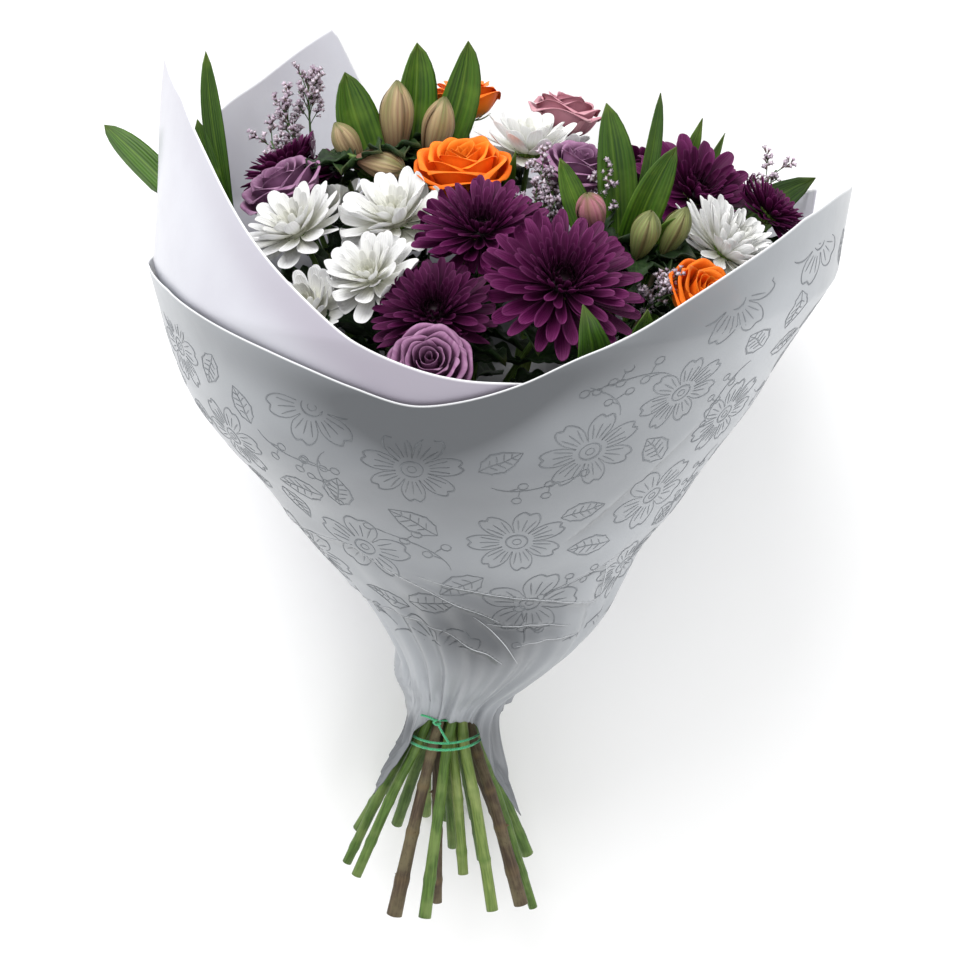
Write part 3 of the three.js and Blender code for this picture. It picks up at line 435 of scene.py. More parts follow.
GREEN_STEM = stem_finish("green_stem", "375018 55742c 7c8f50")
PALE_STEM = stem_finish("pale_stem", "566d30 788b46 9fa86c")
BROWN_STEM = stem_finish("brown_stem", "3a2d22 5b4c3a 7b7455", 0.6, 0.5)
CUT_END = stem_finish("cut_end", "8f9a62 c3c592 dedbb4", 0.7)

# The low floor of the tint lets a purple bloom be painted dark, as painted shade for a bloom in shade.
PURPLE = petal_finish("purple_petal", "1e0313 5e134b 9a4484", 22.0, low=0.3)
WHITE = petal_finish("white_petal", "cfcfbc e4e4e5 f3f3f4", 18.0, 0.5, 0.86)
ORANGE = petal_finish("orange_petal", "f7982b fb6c14 ff8426")
MAUVE = petal_finish("mauve_petal", "693f60 936489 bd98b4")
PINK = petal_finish("pink_petal", "a25f72 c98a99 ddb1b6")

LILY_LEAF = leaf_finish("lily_leaf", "1d3b0b 396013 6d8f31", 0.38)
DARK_LEAF = leaf_finish("dark_leaf", "10200d 1e3716 3d5a2b", parallel=False)
CALYX = leaf_finish("calyx_green", "3c5a1f 64863a 90a860")


def lily_bud_finish(name, codes):
    """A closed bud: streaked along its petals, with a green stripe and brown edges."""
    foot, body_shade, stripe = colours(codes)
    f = Finish(name, Roughness=0.42, Specular_IOR_Level=0.3)
    across, along, tint = f.values("across", "along", "tint")
    streak = f.noise(1.0, 4.0, f.grid(across * 8, along * 1.2, tint * 30))
    lines = (across * 24).waves()
    body = f.blend(along.ease(0.0, 0.6), foot, body_shade)
    body = f.blend(streak.ease(0.4, 0.75) * 0.6, body, foot)
    body = f.blend((1 - across.abs().ease(0.05, 0.45)) * along.ease(0.3, 0.9) * 0.7, body, stripe)
    body = f.blend(across.abs().ease(0.6, 1.0) * 0.75, body, colour("5e4a33"))
    body = f.blend(along.ease(0.88, 1.0) * 0.8, body, colour("5f6a38"))
    body = f.blend(lines * 0.3, body, colour("8a6d58"))
    return f.paint(body, bump=lines + streak * 0.5, strength=0.4)


LILY = lily_bud_finish("lily_petal", "71483d ad9a72 66743c")
GREEN_LILY = lily_bud_finish("green_lily_petal", "55602f 8f9a5e 47592a")
PINK_LILY = lily_bud_finish("pink_lily_petal", "7d3a4c b0707f 7a5f45")
BUD_FINISHES = [LILY, LILY, LILY, LILY, PINK_LILY, GREEN_LILY, GREEN_LILY]


def floret_finish(name, codes):
    deep, pale = colours(codes)
    f = Finish(name, Roughness=0.65)
    tint, cloud = f.value("tint"), f.noise(800.0, 2.0)
    return f.paint(f.blend(tint * 0.7 + cloud * 0.3, deep, pale), bump=cloud)


FLORET = floret_finish("pale_floret", "b79fb5 f3e6f0")
FLORET_CUP = floret_finish("floret_cup", "3a2c33 77605f")
TWIG = floret_finish("green_twig", "3e5a2e 6c8a50")


def twine_finish():
    f = Finish("green_twine", Roughness=0.75, Sheen_Weight=0.4)
    fuzz = f.noise(2500.0, 4.0)
    body = f.blend(fuzz.ease(0.3, 0.7), colour("1f7f4d"), colour("4fc58a"))
    return f.paint(body, bump=fuzz, strength=0.8)


TWINE = twine_finish()


def film_finish(name, codes, alpha, rough):
    """Frosted film: soft, with fine crinkles, painted light above and painted shade below its folds,
    painted shade for the dark inside of the bunch and on its inner side, and a painted highlight along the
    cut edge of its rim.
    """
    body, bright, shade = colours(codes)
    coat = {"Coat_Weight": 0.3, "Coat_Roughness": 0.2}
    f = Finish(name, Alpha=alpha, IOR=1.45, Specular_IOR_Level=0.55, **coat)
    core, rim, ridge = f.values("core", "rim", "ridge")
    cloud = f.noise(9.0, 3.0)
    crinkle = f.noise(60.0, 5.0)
    tone = f.blend(cloud.ease(0.35, 0.65) * 0.35, body, shade)
    # Painted shade: the film is darkened towards its shade colour where the dark inside of the bunch would
    # show through it.
    tone = f.blend(core, tone, shade)
    # Painted light above each fold and painted shade below it, from the fold mask.
    tone = f.blend((ridge * -0.35).ease(0.0, 1.0), tone, bright)
    tone = f.blend((ridge * 0.5).ease(0.0, 1.0), tone, colour("4a4c4f"))
    # Painted shade: the inner side of the film, low in the bunch, is darkened nearly to black.
    tone = f.blend(f.value("heart"), tone, colour("1b1c1d"))
    # Painted highlight: a bright line along the cut edge of the rim.
    tone = f.blend(rim, tone, bright)
    return f.paint(tone, crinkle * 0.15 + rough, cloud * 0.6 + crinkle * 0.3, 0.3, 0.004)


GREY_FILM = film_finish("grey_film", "b4b8bd f1f2f4 595c60", 0.9, 0.26)
WHITE_FILM = film_finish("white_film", "d3d4dc f6f6f8 a9a3b0", 0.92, 0.32)


def print_finish():
    f = Finish("film_print", Roughness=0.5)
    wear = f.noise(120.0, 3.0)
    # Painted shade: the ink darkens where the film under it carries the painted shade of the bunch's
    # inside.
    ink = f.blend(f.value("core"), colour("7d8186"), colour("45494d"))
    return f.paint(f.blend(wear.ease(0.3, 0.7) * 0.2, ink, colour("9ba0a4")), bump=wear, strength=0.1)


PRINT = print_finish()
# Pale fold lines: partly film whitened by the bend, partly a painted highlight along the fold.
FOLD_WHITENING_AND_HIGHLIGHT = Finish("film_fold", Base_Color=colour("c3c6ca"), Roughness=0.4).material

# ---- Shape of the wrapper ----

FILM_BEND = 262
BACK_SWELL = 0.12
FILM_THICKNESS = 0.45
SHEET_SPACING = 1.6
FILM_PROFILE = [
    (-55, 4, 40),
    (-30, 4, 33),
    (0, 5, 26.5),
    (14, 9, 26.6),
    (30, 16, 38.2),
    (48, 23, 51.3),
    (66, 25, 62.1),
    (85, 23, 72.1),
    (108, 19, 87.7),
    (132, 19, 105.3),
    (152, 18, 118.2),
    (172, 16, 132.6),
    (192, 16, 145.8),
    (216, 18, 156.6),
    (240, 22, 166.9),
    (262, 26, 176.4),
]
FILM_FLARE = [
    (0, 0.14),
    (60, 0.1),
    (100, 0.2),
    (118, 0.245),
    (150, 0.05),
    (190, -0.09),
    (235, -0.05),
    (280, 0.1),
    (349, 0.136),
    (360, 0.14),
]
OUTER_SHEET = [
    (176, 9, 257),
    (190, -10, 263),
    (205, -38, 263),
    (216, -8, 259.5),
    (230, 5, 253),
    (239, 7, 246.7),
    (248, 8, 239),
    (258, 9, 231.6),
    (266, 9, 234.8),
    (275, 8, 244.7),
    (283, 8, 258.2),
    (292, 5, 269.5),
    (301, 2, 282.6),
    (309, -12, 293),
    (323, -48, 307.5),
    (335, -20, 311),
    (349, 4, 306.3),
    (355, 5, 268),
    (368, 8, 236),
    (408, 10, 212),
]
INNER_SHEET = [
    (15, 11, 284),
    (32, 10, 266),
    (46, 10, 258),
    (60, 10, 257),
    (77, 10, 266),
    (100, 10, 278.5),
    (111, 10, 293),
    (118, 10, 342.7),
    (134, 10, 324),
    (152, 10, 309),
    (159, 10, 283),
    (171, 10, 281),
    (178, 10, 308),
    (190, 10, 368.9),
    (205, 10, 357.3),
    (216, 10, 334.7),
    (230, 10, 300.3),
    (239, 10, 280.4),
    (248, 10, 262.6),
    (258, 10, 250.9),
    (266, 10, 245.9),
    (275, 10, 244.3),
    (283, 11, 242),
]
CORNERS = (349, 355, 118, 190, 205, 323)
# Folds: degrees around and height of both ends, reach to either side and depth in millimetres.
FOLDS = [
    (184, 128, 236, 134, 12, 2.0),
    (228, 137, 277, 84, 18, 4.2),
    (248, 121, 326, 84, 16, 3.6),
    (268, 86, 308, 78, 12, 2.8),
    (280, 69, 314, 70, 8, 1.9),
    (192, 92, 253, 78, 14, 3.4),
    (249, 80, 278, 54, 12, 3.0),
    (264, 92, 286, 53, 8, 1.9),
    (296, 106, 319, 126, 12, 3.0),
    (313, 118, 325, 86, 8, 2.0),
    (291, 140, 307, 176, 16, 1.6),
    (307, 176, 316, 206, 14, 1.4),
    (30, 60, 60, 230, 16, 1.6),
    (140, 60, 165, 210, 16, 1.6),
    (340, 60, 372, 170, 14, 1.6),
]
FOLD_DROP = 4.0
SHARP_FOLD = 1.8
# Clear distance from the stems at the tie, and the heights where the film leaves them.
STEM_GAP = 4.0
GATHER_TOP, FREE_FROM = 24, 40
SURFACE_GAP = 0.4
# How far the stems reach at heights up to the gather; filled in once the stems are drawn.
BUNCH_AT = {}


def fold_sway(share, a0):
    return 0.5 * math.sin(share * 6 + a0)


def degrees_between(around, other):
    return (around - other + 180) % 360 - 180


def way_on_film(turn, rise, radius):
    """A turn in degrees and a rise as a way on the film in millimetres."""
    return math.radians(turn) * radius, rise


def fold_at(around, height, radius):
    """How far the film is folded out at a place, and its light above and shade below the folds."""
    out = shade = 0.0
    for a0, h0, a1, h1, far, deep in FOLDS:
        ax, ay = way_on_film(a1 - a0, h1 - h0, radius)
        px, py = way_on_film(degrees_between(around, a0), height - h0, radius)
        span = ax * ax + ay * ay
        share = (px * ax + py * ay) / span
        if not -0.1 < share < 1.1:
            continue
        away = (px * ay - py * ax) / math.sqrt(span) + fold_sway(share, a0)
        if abs(away) > far:
            continue
        fade = smooth(share, -0.1, 0.25) * (1 - smooth(share, 0.75, 1.1))
        slope = (1 - abs(away) / far) ** 2
        if away < 0:
            out += fade * deep * 0.6 * slope
            shade -= fade * slope * 0.5
        else:
            out += fade * deep * mix(0.6 * slope, -0.4 * slope, smooth(away, 0, FOLD_DROP))
            shade += fade * slope
    return out, shade


def film_point(around, height, inset):
    turn = math.radians(around)
    middle = read_curve(FILM_PROFILE, height, 1)
    spread = read_curve(FILM_FLARE, around % 360, 1) * max(height - FILM_BEND, 0)
    softness = mix(2.6, 0.9, smooth(height, 10, 120))
    radius = read_curve(FILM_PROFILE, height, 2) + spread
    radius += softness * (0.7 * math.sin(7 * turn + 0.02 * height) + 0.4 * math.sin(4 * turn + 1.3))
    gather = 1 - smooth(height, 20, 150)
    radius += gather * 1.5 * math.sin(19 * turn + 2.2 * math.sin(3 * turn) + 0.01 * height)
    radius += gather * 0.8 * math.sin(31 * turn + 1.7 * math.sin(5 * turn))
    radius += 1.6 * noise.noise(Vector((math.cos(turn) * 2.2, math.sin(turn) * 2.2, height * 0.012)))
    radius += fold_at(around, height, radius)[0]
    x = middle + radius * math.cos(turn)
    behind = smooth(math.sin(turn), 0.2, 0.8) * smooth(height, 60, 140)
    y = radius * math.sin(turn) * (1 + BACK_SWELL * behind)
    if height < FREE_FROM:
        reach = math.hypot(x, y)
        tight = BUNCH_AT[2 * round(height / 2)] + STEM_GAP
        least = mix(tight, reach, smooth(height, GATHER_TOP, FREE_FROM))
        if reach < least:
            x, y = x * least / reach, y * least / reach
    loose = inset * mix(1, 1.9, smooth(height, 150, 260))
    x -= loose * math.cos(turn)
    y -= loose * math.sin(turn)
    tilt = math.radians(LAY_TILT)
    surface = (TIE_HEIGHT + height * math.sin(tilt) - SURFACE_GAP) / math.cos(tilt)
    return Vector((x, min(y, surface), height))


def film_place(edges, around, share):
    low = read_curve(edges, around, 1, CORNERS)
    high = read_curve(edges, around, 2, CORNERS)
    return low, high, mix(low, high, share)


def keep_inside(bm):
    """Draws in what would pass through the wrapper below its rim."""
    heads_from, rim_room = 150, 3
    for vert in bm.verts:
        x, y, height = vert.co
        middle, wide = read_off(FILM_PROFILE, height, 1), read_off(FILM_PROFILE, height, 2)
        reach = math.hypot(x - middle, y)
        if height < heads_from or reach < wide - 10:
            continue
        around = math.degrees(math.atan2(y, x - middle)) % 360
        lined = INNER_SHEET[0][0] < around < INNER_SHEET[-1][0]
        edges = INNER_SHEET if lined else OUTER_SHEET
        rim = read_curve(edges, around if around > 15 else around + 360, 2, CORNERS)
        if height > rim + rim_room:
            continue
        limit = film_point(around, height, 2.8 if lined else 1.4)
        share = math.hypot(limit.x - middle, limit.y) / reach
        if share < 1:
            vert.co.x, vert.co.y = middle + (x - middle) * share, y * share


# ---- Pieces ----

FLOATS = ("across", "along", "tint", "heart", "rim", "ridge", "core", "joint")


def new_bm():
    bm = bmesh.new()
    for name in FLOATS:
        bm.verts.layers.float.new(name)
    bm.verts.layers.float_vector.new("grain")
    return bm


def set_values(bm, verts, **values):
    for name, value in values.items():
        layer = bm.verts.layers.float[name]
        for vert in verts:
            vert[layer] = value


def keep_shape(bm):
    mesh = bpy.data.meshes.new("shape")
    bm.to_mesh(mesh)
    bm.free()
    return mesh


def thicken(bm, thickness):
    """Gives a sheet its other side, a thickness below it."""
    bm.normal_update()
    grown = bmesh.ops.extrude_face_region(bm, geom=bm.faces[:])["geom"]
    below = [part for part in grown if isinstance(part, bmesh.types.BMVert)]
    for vert in below:
        vert.co -= vert.normal * thickness
    return below


def thin_shape(columns, rows, thickness, place):
    """A closed thin shape over a grid: place(across, along) gives its points."""
    bm = new_bm()
    bmesh.ops.create_grid(bm, x_segments=rows, y_segments=columns, size=0.5)
    across, along = bm.verts.layers.float["across"], bm.verts.layers.float["along"]
    for vert in bm.verts:
        s, t = vert.co.y * 2, vert.co.x + 0.5
        vert[across], vert[along] = s, t
        vert.co = place(s, t)
    thicken(bm, thickness)
    bmesh.ops.recalc_face_normals(bm, faces=bm.faces[:])
    return keep_shape(bm)


def plant(bm, shape, matrix, slot=0, **values):
    """Puts a copy of a shape into a mesh; slot is added to the slots of the shape."""
    bm.verts.ensure_lookup_table()
    verts, faces = len(bm.verts), len(bm.faces)
    bm.from_mesh(shape)
    bm.verts.ensure_lookup_table()
    bm.faces.ensure_lookup_table()
    new = bm.verts[verts:]
    bmesh.ops.transform(bm, matrix=matrix, verts=new)
    set_values(bm, new, **values)
    for face in bm.faces[faces:]:
        face.material_index += slot


def plant_once(bm, shape, matrix, slot=0, **values):
    plant(bm, shape, matrix, slot, **values)
    bpy.data.meshes.remove(shape)


def sweep(bm, line, radius, sides, slot=0, ribs=(0, 0.0), cap_slot=None):
    """A bar along a line, drawn out ring by ring; radius(share) is its radius."""
    frames = frames_along(line)
    total = lengths_along(line)
    shares = [part / total[-1] for part in total]
    grain = bm.verts.layers.float_vector["grain"]
    along = bm.verts.layers.float["along"]
    turns = {}
    made = bmesh.ops.create_circle(bm, cap_ends=True, radius=1.0, segments=sides)["verts"]
    for vert in made:
        turns[vert] = math.atan2(vert.co.y, vert.co.x)
        vert.co *= 1 + ribs[1] * math.cos(ribs[0] * turns[vert])
    first = made[0].link_faces[0]
    size = radius(0.0)
    bmesh.ops.transform(bm, matrix=frames[0] @ Matrix.Scale(size, 4), verts=made)
    faces = {first}
    cap = first
    for vert in made:
        vert[grain] = polar(1.0, turns[vert])
    for k in range(1, len(line)):
        grown = bmesh.ops.extrude_face_region(bm, geom=[cap, *cap.edges, *cap.verts])["geom"]
        new = [part for part in grown if isinstance(part, bmesh.types.BMVert)]
        cap = next(part for part in grown if isinstance(part, bmesh.types.BMFace))
        step = radius(shares[k]) / size
        size = radius(shares[k])
        move = frames[k] @ Matrix.Scale(step, 4) @ frames[k - 1].inverted()
        bmesh.ops.transform(bm, matrix=move, verts=new)
        for vert in new:
            kind = vert[grain]
            vert[grain] = (kind[0], kind[1], total[k] * 0.03)
            vert[along] = shares[k]
        faces.update(face for vert in new for face in vert.link_faces)
    for face in faces:
        if face.is_valid:
            face.material_index = slot
    if cap_slot is not None:
        first.material_index = cap_slot


def finish_piece(name, bm, materials, nodes, slot, subdivide=1, inside=False):
    """Lays the mesh down, makes it a piece and hides the parts that it replaces."""
    if inside:
        keep_inside(bm)
    bmesh.ops.transform(bm, matrix=LAID, verts=bm.verts[:])
    bmesh.ops.recalc_face_normals(bm, faces=bm.faces[:])
    for face in bm.faces:
        face.smooth = True
    mesh = bpy.data.meshes.new(name)
    bm.to_mesh(mesh)
    bm.free()
    for material in materials:
        mesh.materials.append(material)
    piece = add_object(name, mesh)
    if subdivide:
        rounder = piece.modifiers.new("rounder", "SUBSURF")
        rounder.levels = rounder.render_levels = subdivide
    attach(piece, "root")
    if nodes:
        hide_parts(*nodes)


# ---- Chrysanthemums ----

# Width of a petal along its length, as a share of its widest.
STRAP = [(0, 0.42), (0.25, 0.66), (0.5, 0.88), (0.72, 1.0), (0.88, 0.97), (0.96, 0.82), (1, 0.58)]
OVAL = [(0, 0.32), (0.2, 0.66), (0.45, 0.96), (0.68, 1.0), (0.85, 0.98), (0.95, 0.86), (1, 0.6)]


def arc_point(length, rise, curl, t):
    """A point and the elevation at a share of an arc that starts at an elevation and curls."""
    now = rise + curl * t
    if abs(curl) < 1e-3:
        return length * t * math.cos(rise), length * t * math.sin(rise), now
    out = length * (math.sin(now) - math.sin(rise)) / curl
    high = length * (math.cos(rise) - math.cos(now)) / curl
    return out, high, now


def ray_petal(outline, length, width, rise, curl, cup, twist, pleats):
    """A petal that leaves the heart of a bloom and cups along its middle."""

    def place(s, t):
        tip = t + 0.05 * (1 - s * s) * t
        out, high, now = arc_point(length, rise, curl, tip)
        half = 0.5 * width * read_off(outline, t)
        fold = cup * half * (s * s - 0.35)
        fold += pleats * width * math.cos(3 * math.pi * s) * smooth(t, 0, 0.4)
        fold += twist * t * s * half
        side = s * half * (1 - 0.25 * cup)
        return Vector((out - math.sin(now) * fold, side, high + math.cos(now) * fold))

    return place


# Count, where the petals start out and up, length, width, elevation at root, curl, cup, heart.
# Lengths are in radii of the bloom, angles in degrees.
FINE_WHORLS = [
    (20, 0.20, 0.08, 0.80, 0.210, -4, 10, 0.4, 0.0),
    (20, 0.20, 0.12, 0.75, 0.200, 6, 12, 0.45, 0.0),
    (19, 0.18, 0.16, 0.66, 0.175, 16, 15, 0.5, 0.05),
    (18, 0.17, 0.20, 0.56, 0.150, 27, 17, 0.6, 0.12),
    (17, 0.17, 0.23, 0.44, 0.125, 38, 24, 0.8, 0.25),
    (16, 0.17, 0.25, 0.33, 0.100, 48, 30, 0.9, 0.45),
    (15, 0.16, 0.26, 0.23, 0.075, 56, 38, 1.0, 0.7),
    (14, 0.14, 0.26, 0.16, 0.055, 62, 44, 1.0, 0.9),
    (12, 0.10, 0.25, 0.11, 0.045, 70, 50, 1.0, 1.0),
]
BROAD_WHORLS = [
    (12, 0.18, 0.10, 0.82, 0.330, -2, 12, 0.35, 0.0),
    (12, 0.18, 0.15, 0.76, 0.310, 12, 16, 0.4, 0.0),
    (11, 0.17, 0.20, 0.64, 0.260, 26, 18, 0.5, 0.1),
    (11, 0.17, 0.24, 0.48, 0.200, 36, 26, 0.7, 0.25),
    (12, 0.16, 0.26, 0.33, 0.130, 46, 34, 0.9, 0.5),
    (12, 0.15, 0.27, 0.21, 0.080, 56, 42, 1.0, 0.8),
    (12, 0.11, 0.26, 0.13, 0.055, 66, 48, 1.0, 1.0),
]
WHITE_WHORLS = [
    (11, 0.16, 0.10, 0.84, 0.360, -2, 14, 0.3, 0.0),
    (11, 0.16, 0.15, 0.78, 0.340, 13, 16, 0.35, 0.0),
    (10, 0.15, 0.20, 0.66, 0.290, 28, 18, 0.4, 0.0),
    (9, 0.14, 0.24, 0.52, 0.230, 42, 20, 0.55, 0.1),
    (8, 0.12, 0.27, 0.38, 0.165, 55, 18, 0.7, 0.3),
    (8, 0.08, 0.28, 0.26, 0.110, 68, 12, 0.9, 0.6),
    (8, 0.04, 0.28, 0.16, 0.070, 80, 5, 1.0, 1.0),
]
QUILLED_WHORLS = [
    (18, 0.20, 0.08, 0.80, 0.250, -2, 16, 0.5, 0.0),
    (18, 0.19, 0.12, 0.76, 0.240, 10, 18, 0.55, 0.0),
    (17, 0.18, 0.16, 0.69, 0.220, 22, 20, 0.6, 0.0),
    (16, 0.17, 0.20, 0.61, 0.200, 34, 22, 0.7, 0.0),
    (14, 0.15, 0.23, 0.53, 0.170, 46, 24, 0.8, 0.05),
    (12, 0.12, 0.25, 0.45, 0.140, 58, 20, 0.9, 0.15),
    (9, 0.08, 0.27, 0.38, 0.110, 70, 14, 1.0, 0.3),
]
CRUMPLED_WHORLS = [
    (13, 0.16, 0.10, 0.80, 0.330, -12, 40, 0.3, 0.0),
    (12, 0.15, 0.16, 0.70, 0.310, 10, 46, 0.4, 0.0),
    (11, 0.14, 0.20, 0.58, 0.270, 30, 50, 0.5, 0.1),
    (9, 0.12, 0.24, 0.44, 0.220, 48, 50, 0.6, 0.35),
    (9, 0.08, 0.27, 0.28, 0.130, 64, 40, 0.8, 0.8),
]
# Whorls, outline and material of the petals, depth of their pleats, slot.
BLOOM_KINDS = {
    "fine": (FINE_WHORLS, STRAP, PURPLE, 0.01, "purple_petals"),
    "broad": (BROAD_WHORLS, OVAL, PURPLE, 0.02, "purple_petals"),
    "white": (WHITE_WHORLS, OVAL, WHITE, 0.03, "white_petals"),
    "quilled": (QUILLED_WHORLS, STRAP, WHITE, 0.02, "white_petals"),
    "crumpled": (CRUMPLED_WHORLS, OVAL, WHITE, 0.07, "white_petals"),
}
PETAL_VARIETIES = 4
# Petals longer or wider than this get more rows and columns.
LONG_PETAL, WIDE_PETAL = 0.4, 0.16
RAY_THICKNESS = 0.008


def whorl_shapes(kind):
    """A few petals of each whorl, each with its own curl and twist."""
    whorls, outline, _, pleats, _ = BLOOM_KINDS[kind]
    draw = random.Random(kind)
    shapes = []
    for _, _, _, length, width, rise, curl, cup, _ in whorls:
        columns, rows = 4 if width > WIDE_PETAL else 2, 6 if length > LONG_PETAL else 4
        varieties = []
        for _ in range(PETAL_VARIETIES):
            bend = math.radians(curl + draw.uniform(-14, 10))
            hollow, twist = cup * draw.uniform(0.7, 1.2), draw.uniform(-0.35, 0.35)
            place = ray_petal(outline, length, width, math.radians(rise), bend, hollow, twist, pleats)
            varieties.append(thin_shape(columns, rows, RAY_THICKNESS, place))
        shapes.append(varieties)
    return shapes


def heart_shape():
    """The round disc that the petals stand on."""
    bm = new_bm()
    bmesh.ops.create_uvsphere(bm, u_segments=16, v_segments=8, radius=1.0)
    bmesh.ops.transform(bm, matrix=Matrix.Diagonal((0.2, 0.2, 0.12, 1)), verts=bm.verts[:])
    bmesh.ops.translate(bm, vec=(0, 0, 0.14), verts=bm.verts[:])
    return keep_shape(bm)


def calyx_shape():
    """The green cup of scales under a bloom."""
    bm = new_bm()
    place = ray_petal(OVAL, 0.3, 0.16, math.radians(8), math.radians(50), 0.6, 0, 0)
    scale = thin_shape(2, 3, 0.02, place)
    tiers = [(12, 0.02, 1.0), (10, -0.01, 0.75), (8, -0.04, 0.55)]
    for tier, (count, high, size) in enumerate(tiers):
        for k in range(count):
            turn = Matrix.Rotation((k + 0.5 * tier) / count * math.tau, 4, "Z")
            matrix = Matrix.Translation((0, 0, high)) @ turn @ Matrix.Scale(size, 4)
            plant(bm, scale, matrix, along=0.5)
    made = bmesh.ops.create_cone(
        bm, cap_ends=True, segments=12, radius1=0.07, radius2=0.17, depth=0.16
    )["verts"]
    bmesh.ops.translate(bm, vec=(0, 0, 0.02), verts=made)
    return keep_shape(bm)


HEART = heart_shape()
CALYX_CUP = calyx_shape()


def press_apart(bm, at, radius, facing):
    """Turns up the petals that would run through a neighbour; roses and buds keep their shape."""
    ahead = facing_of(at, facing)
    petal_gap = 0.3
    for other, size, firm in HEADS:
        gap = other - Vector(at)
        distance = gap.length
        if distance < 1 or distance > radius + size:
            continue
        way = gap / distance
        limit = distance - size if firm else distance * radius / (radius + size) - petal_gap
        for vert in bm.verts:
            over = (vert.co - Vector(at)).dot(way) - limit
            if over > 0:
                vert.co += (ahead * 0.5 - way * 0.9) * over


def make_daisy(name, node, kind, at, radius, facing, tone):
    whorls, _, material, _, slot = BLOOM_KINDS[kind]
    draw = random.Random(name)
    bm = new_bm()
    for (count, out, high, *_, heart), varieties in zip(whorls, SHAPES[kind]):
        start = draw.uniform(0, math.tau)
        for k in range(count):
            around = start + (k + draw.uniform(-0.22, 0.22)) / count * math.tau
            size = draw.uniform(1.0, 1.09)
            matrix = (
                Matrix.Rotation(around, 4, "Z")
                @ Matrix.Translation((out, 0, high))
                @ Matrix.Rotation(math.radians(draw.uniform(-7, 5)), 4, "Y")
                @ Matrix.Rotation(math.radians(draw.uniform(-10, 10)), 4, "X")
                @ Matrix.Scale(size, 4)
            )
            # The bloom's paleness, partly painted shade, sets the tint of its petals and its calyx.
            tint = clamp(0.35 * draw.random() + 0.65 * tone)
            plant(bm, draw.choice(varieties), matrix, tint=tint, heart=heart)
    plant(bm, HEART, Matrix(), along=0.0, heart=1.0, tint=0.0)
    plant(bm, CALYX_CUP, Matrix(), slot=1, tint=tone)
    spot = spot_at(*head_of(at, radius, facing, DAISY_BEHIND), draw.uniform(0, 6))
    bmesh.ops.transform(bm, matrix=spot @ Matrix.Scale(radius, 4), verts=bm.verts[:])
    press_apart(bm, at, radius, facing)
    finish_piece(name, bm, [material, CALYX], [node], slot, inside=True)


# Middle, radius and firmness of all heads.
HEADS = [(Vector(at), 0.96 * radius, False) for _, at, radius, *_ in PURPLE_BLOOMS + WHITE_BLOOMS]
HEADS += [(Vector(at), 0.92 * radius, True) for roses in ROSES.values() for at, radius, _ in roses]
HEADS += [(Vector(foot).lerp(Vector(tip), 0.5), radius + 1, True) for foot, tip, radius in LILY_BUDS]
SHAPES = {kind: whorl_shapes(kind) for kind in BLOOM_KINDS}
for tone, blooms in (("purple", PURPLE_BLOOMS), ("white", WHITE_BLOOMS)):
    for i, bloom in enumerate(blooms, 1):
        make_daisy(f"{tone}_bloom_{i}", f"{tone}_chrysanthemum_{i}", *bloom)

# ---- Roses and lily buds ----


def wrapped_petal(table, spread, droop, wave, phase, lean=0.0):
    """A petal wrapped round an axis. Table: share up, height, distance out, spread."""

    def place(s, t):
        high, out = read_curve(table, t, 1), read_curve(table, t, 2)
        turn = s * math.radians(spread) * read_curve(table, t, 3)
        high -= droop * s * s * t * t
        ripple = wave * math.sin(phase + 5.0 * s) * smooth(t, 0.5, 1.0)
        out += ripple + lean * s
        return polar(out, turn, high + 0.6 * ripple)

    return place


# Petals in a ring, spread in degrees, then the columns of the table of wrapped_petal, in radii.
ROSE_RINGS = [
    (4, 60, (0, 0.3, 0.62, 0.86, 1), (0.02, 0.22, 0.56, 0.8, 0.78),
     (0.16, 0.62, 0.85, 0.97, 1.05), (0.8, 1, 1, 0.92, 0.66)),
    (4, 58, (0, 0.3, 0.62, 0.88, 1), (0.04, 0.28, 0.7, 0.96, 0.96),
     (0.16, 0.55, 0.72, 0.82, 0.93), (0.8, 1, 1, 0.92, 0.64)),
    (4, 56, (0, 0.3, 0.65, 0.9, 1), (0.06, 0.34, 0.8, 1.06, 1.09),
     (0.14, 0.45, 0.58, 0.64, 0.74), (0.8, 1, 1, 0.92, 0.64)),
    (3, 76, (0, 0.3, 0.65, 0.9, 1), (0.06, 0.38, 0.86, 1.12, 1.16),
     (0.12, 0.35, 0.45, 0.48, 0.55), (0.8, 1, 1, 0.92, 0.66)),
    (3, 80, (0, 0.3, 0.65, 0.9, 1), (0.06, 0.4, 0.88, 1.14, 1.19),
     (0.1, 0.26, 0.33, 0.34, 0.38), (0.8, 1, 1, 0.95, 0.7)),
    (2, 116, (0, 0.3, 0.65, 0.9, 1), (0.06, 0.4, 0.88, 1.13, 1.18),
     (0.08, 0.17, 0.21, 0.21, 0.24), (0.8, 1, 1, 1, 0.8)),
    (2, 130, (0, 0.3, 0.65, 0.9, 1), (0.06, 0.4, 0.88, 1.1, 1.14),
     (0.04, 0.09, 0.1, 0.09, 0.1), (0.8, 1, 1, 1, 0.9)),
]
ROSE_THICKNESS = 0.014
SEPALS = 5
SEPAL = [(0, 1), (0.3, 0.8), (0.7, 0.4), (1, 0.05)]
ROSE_FINISHES = {
    "orange_rose": (ORANGE, "orange_petals"),
    "mauve_rose": (MAUVE, "mauve_petals"),
    "pink_rose": (PINK, "pink_petals"),
}


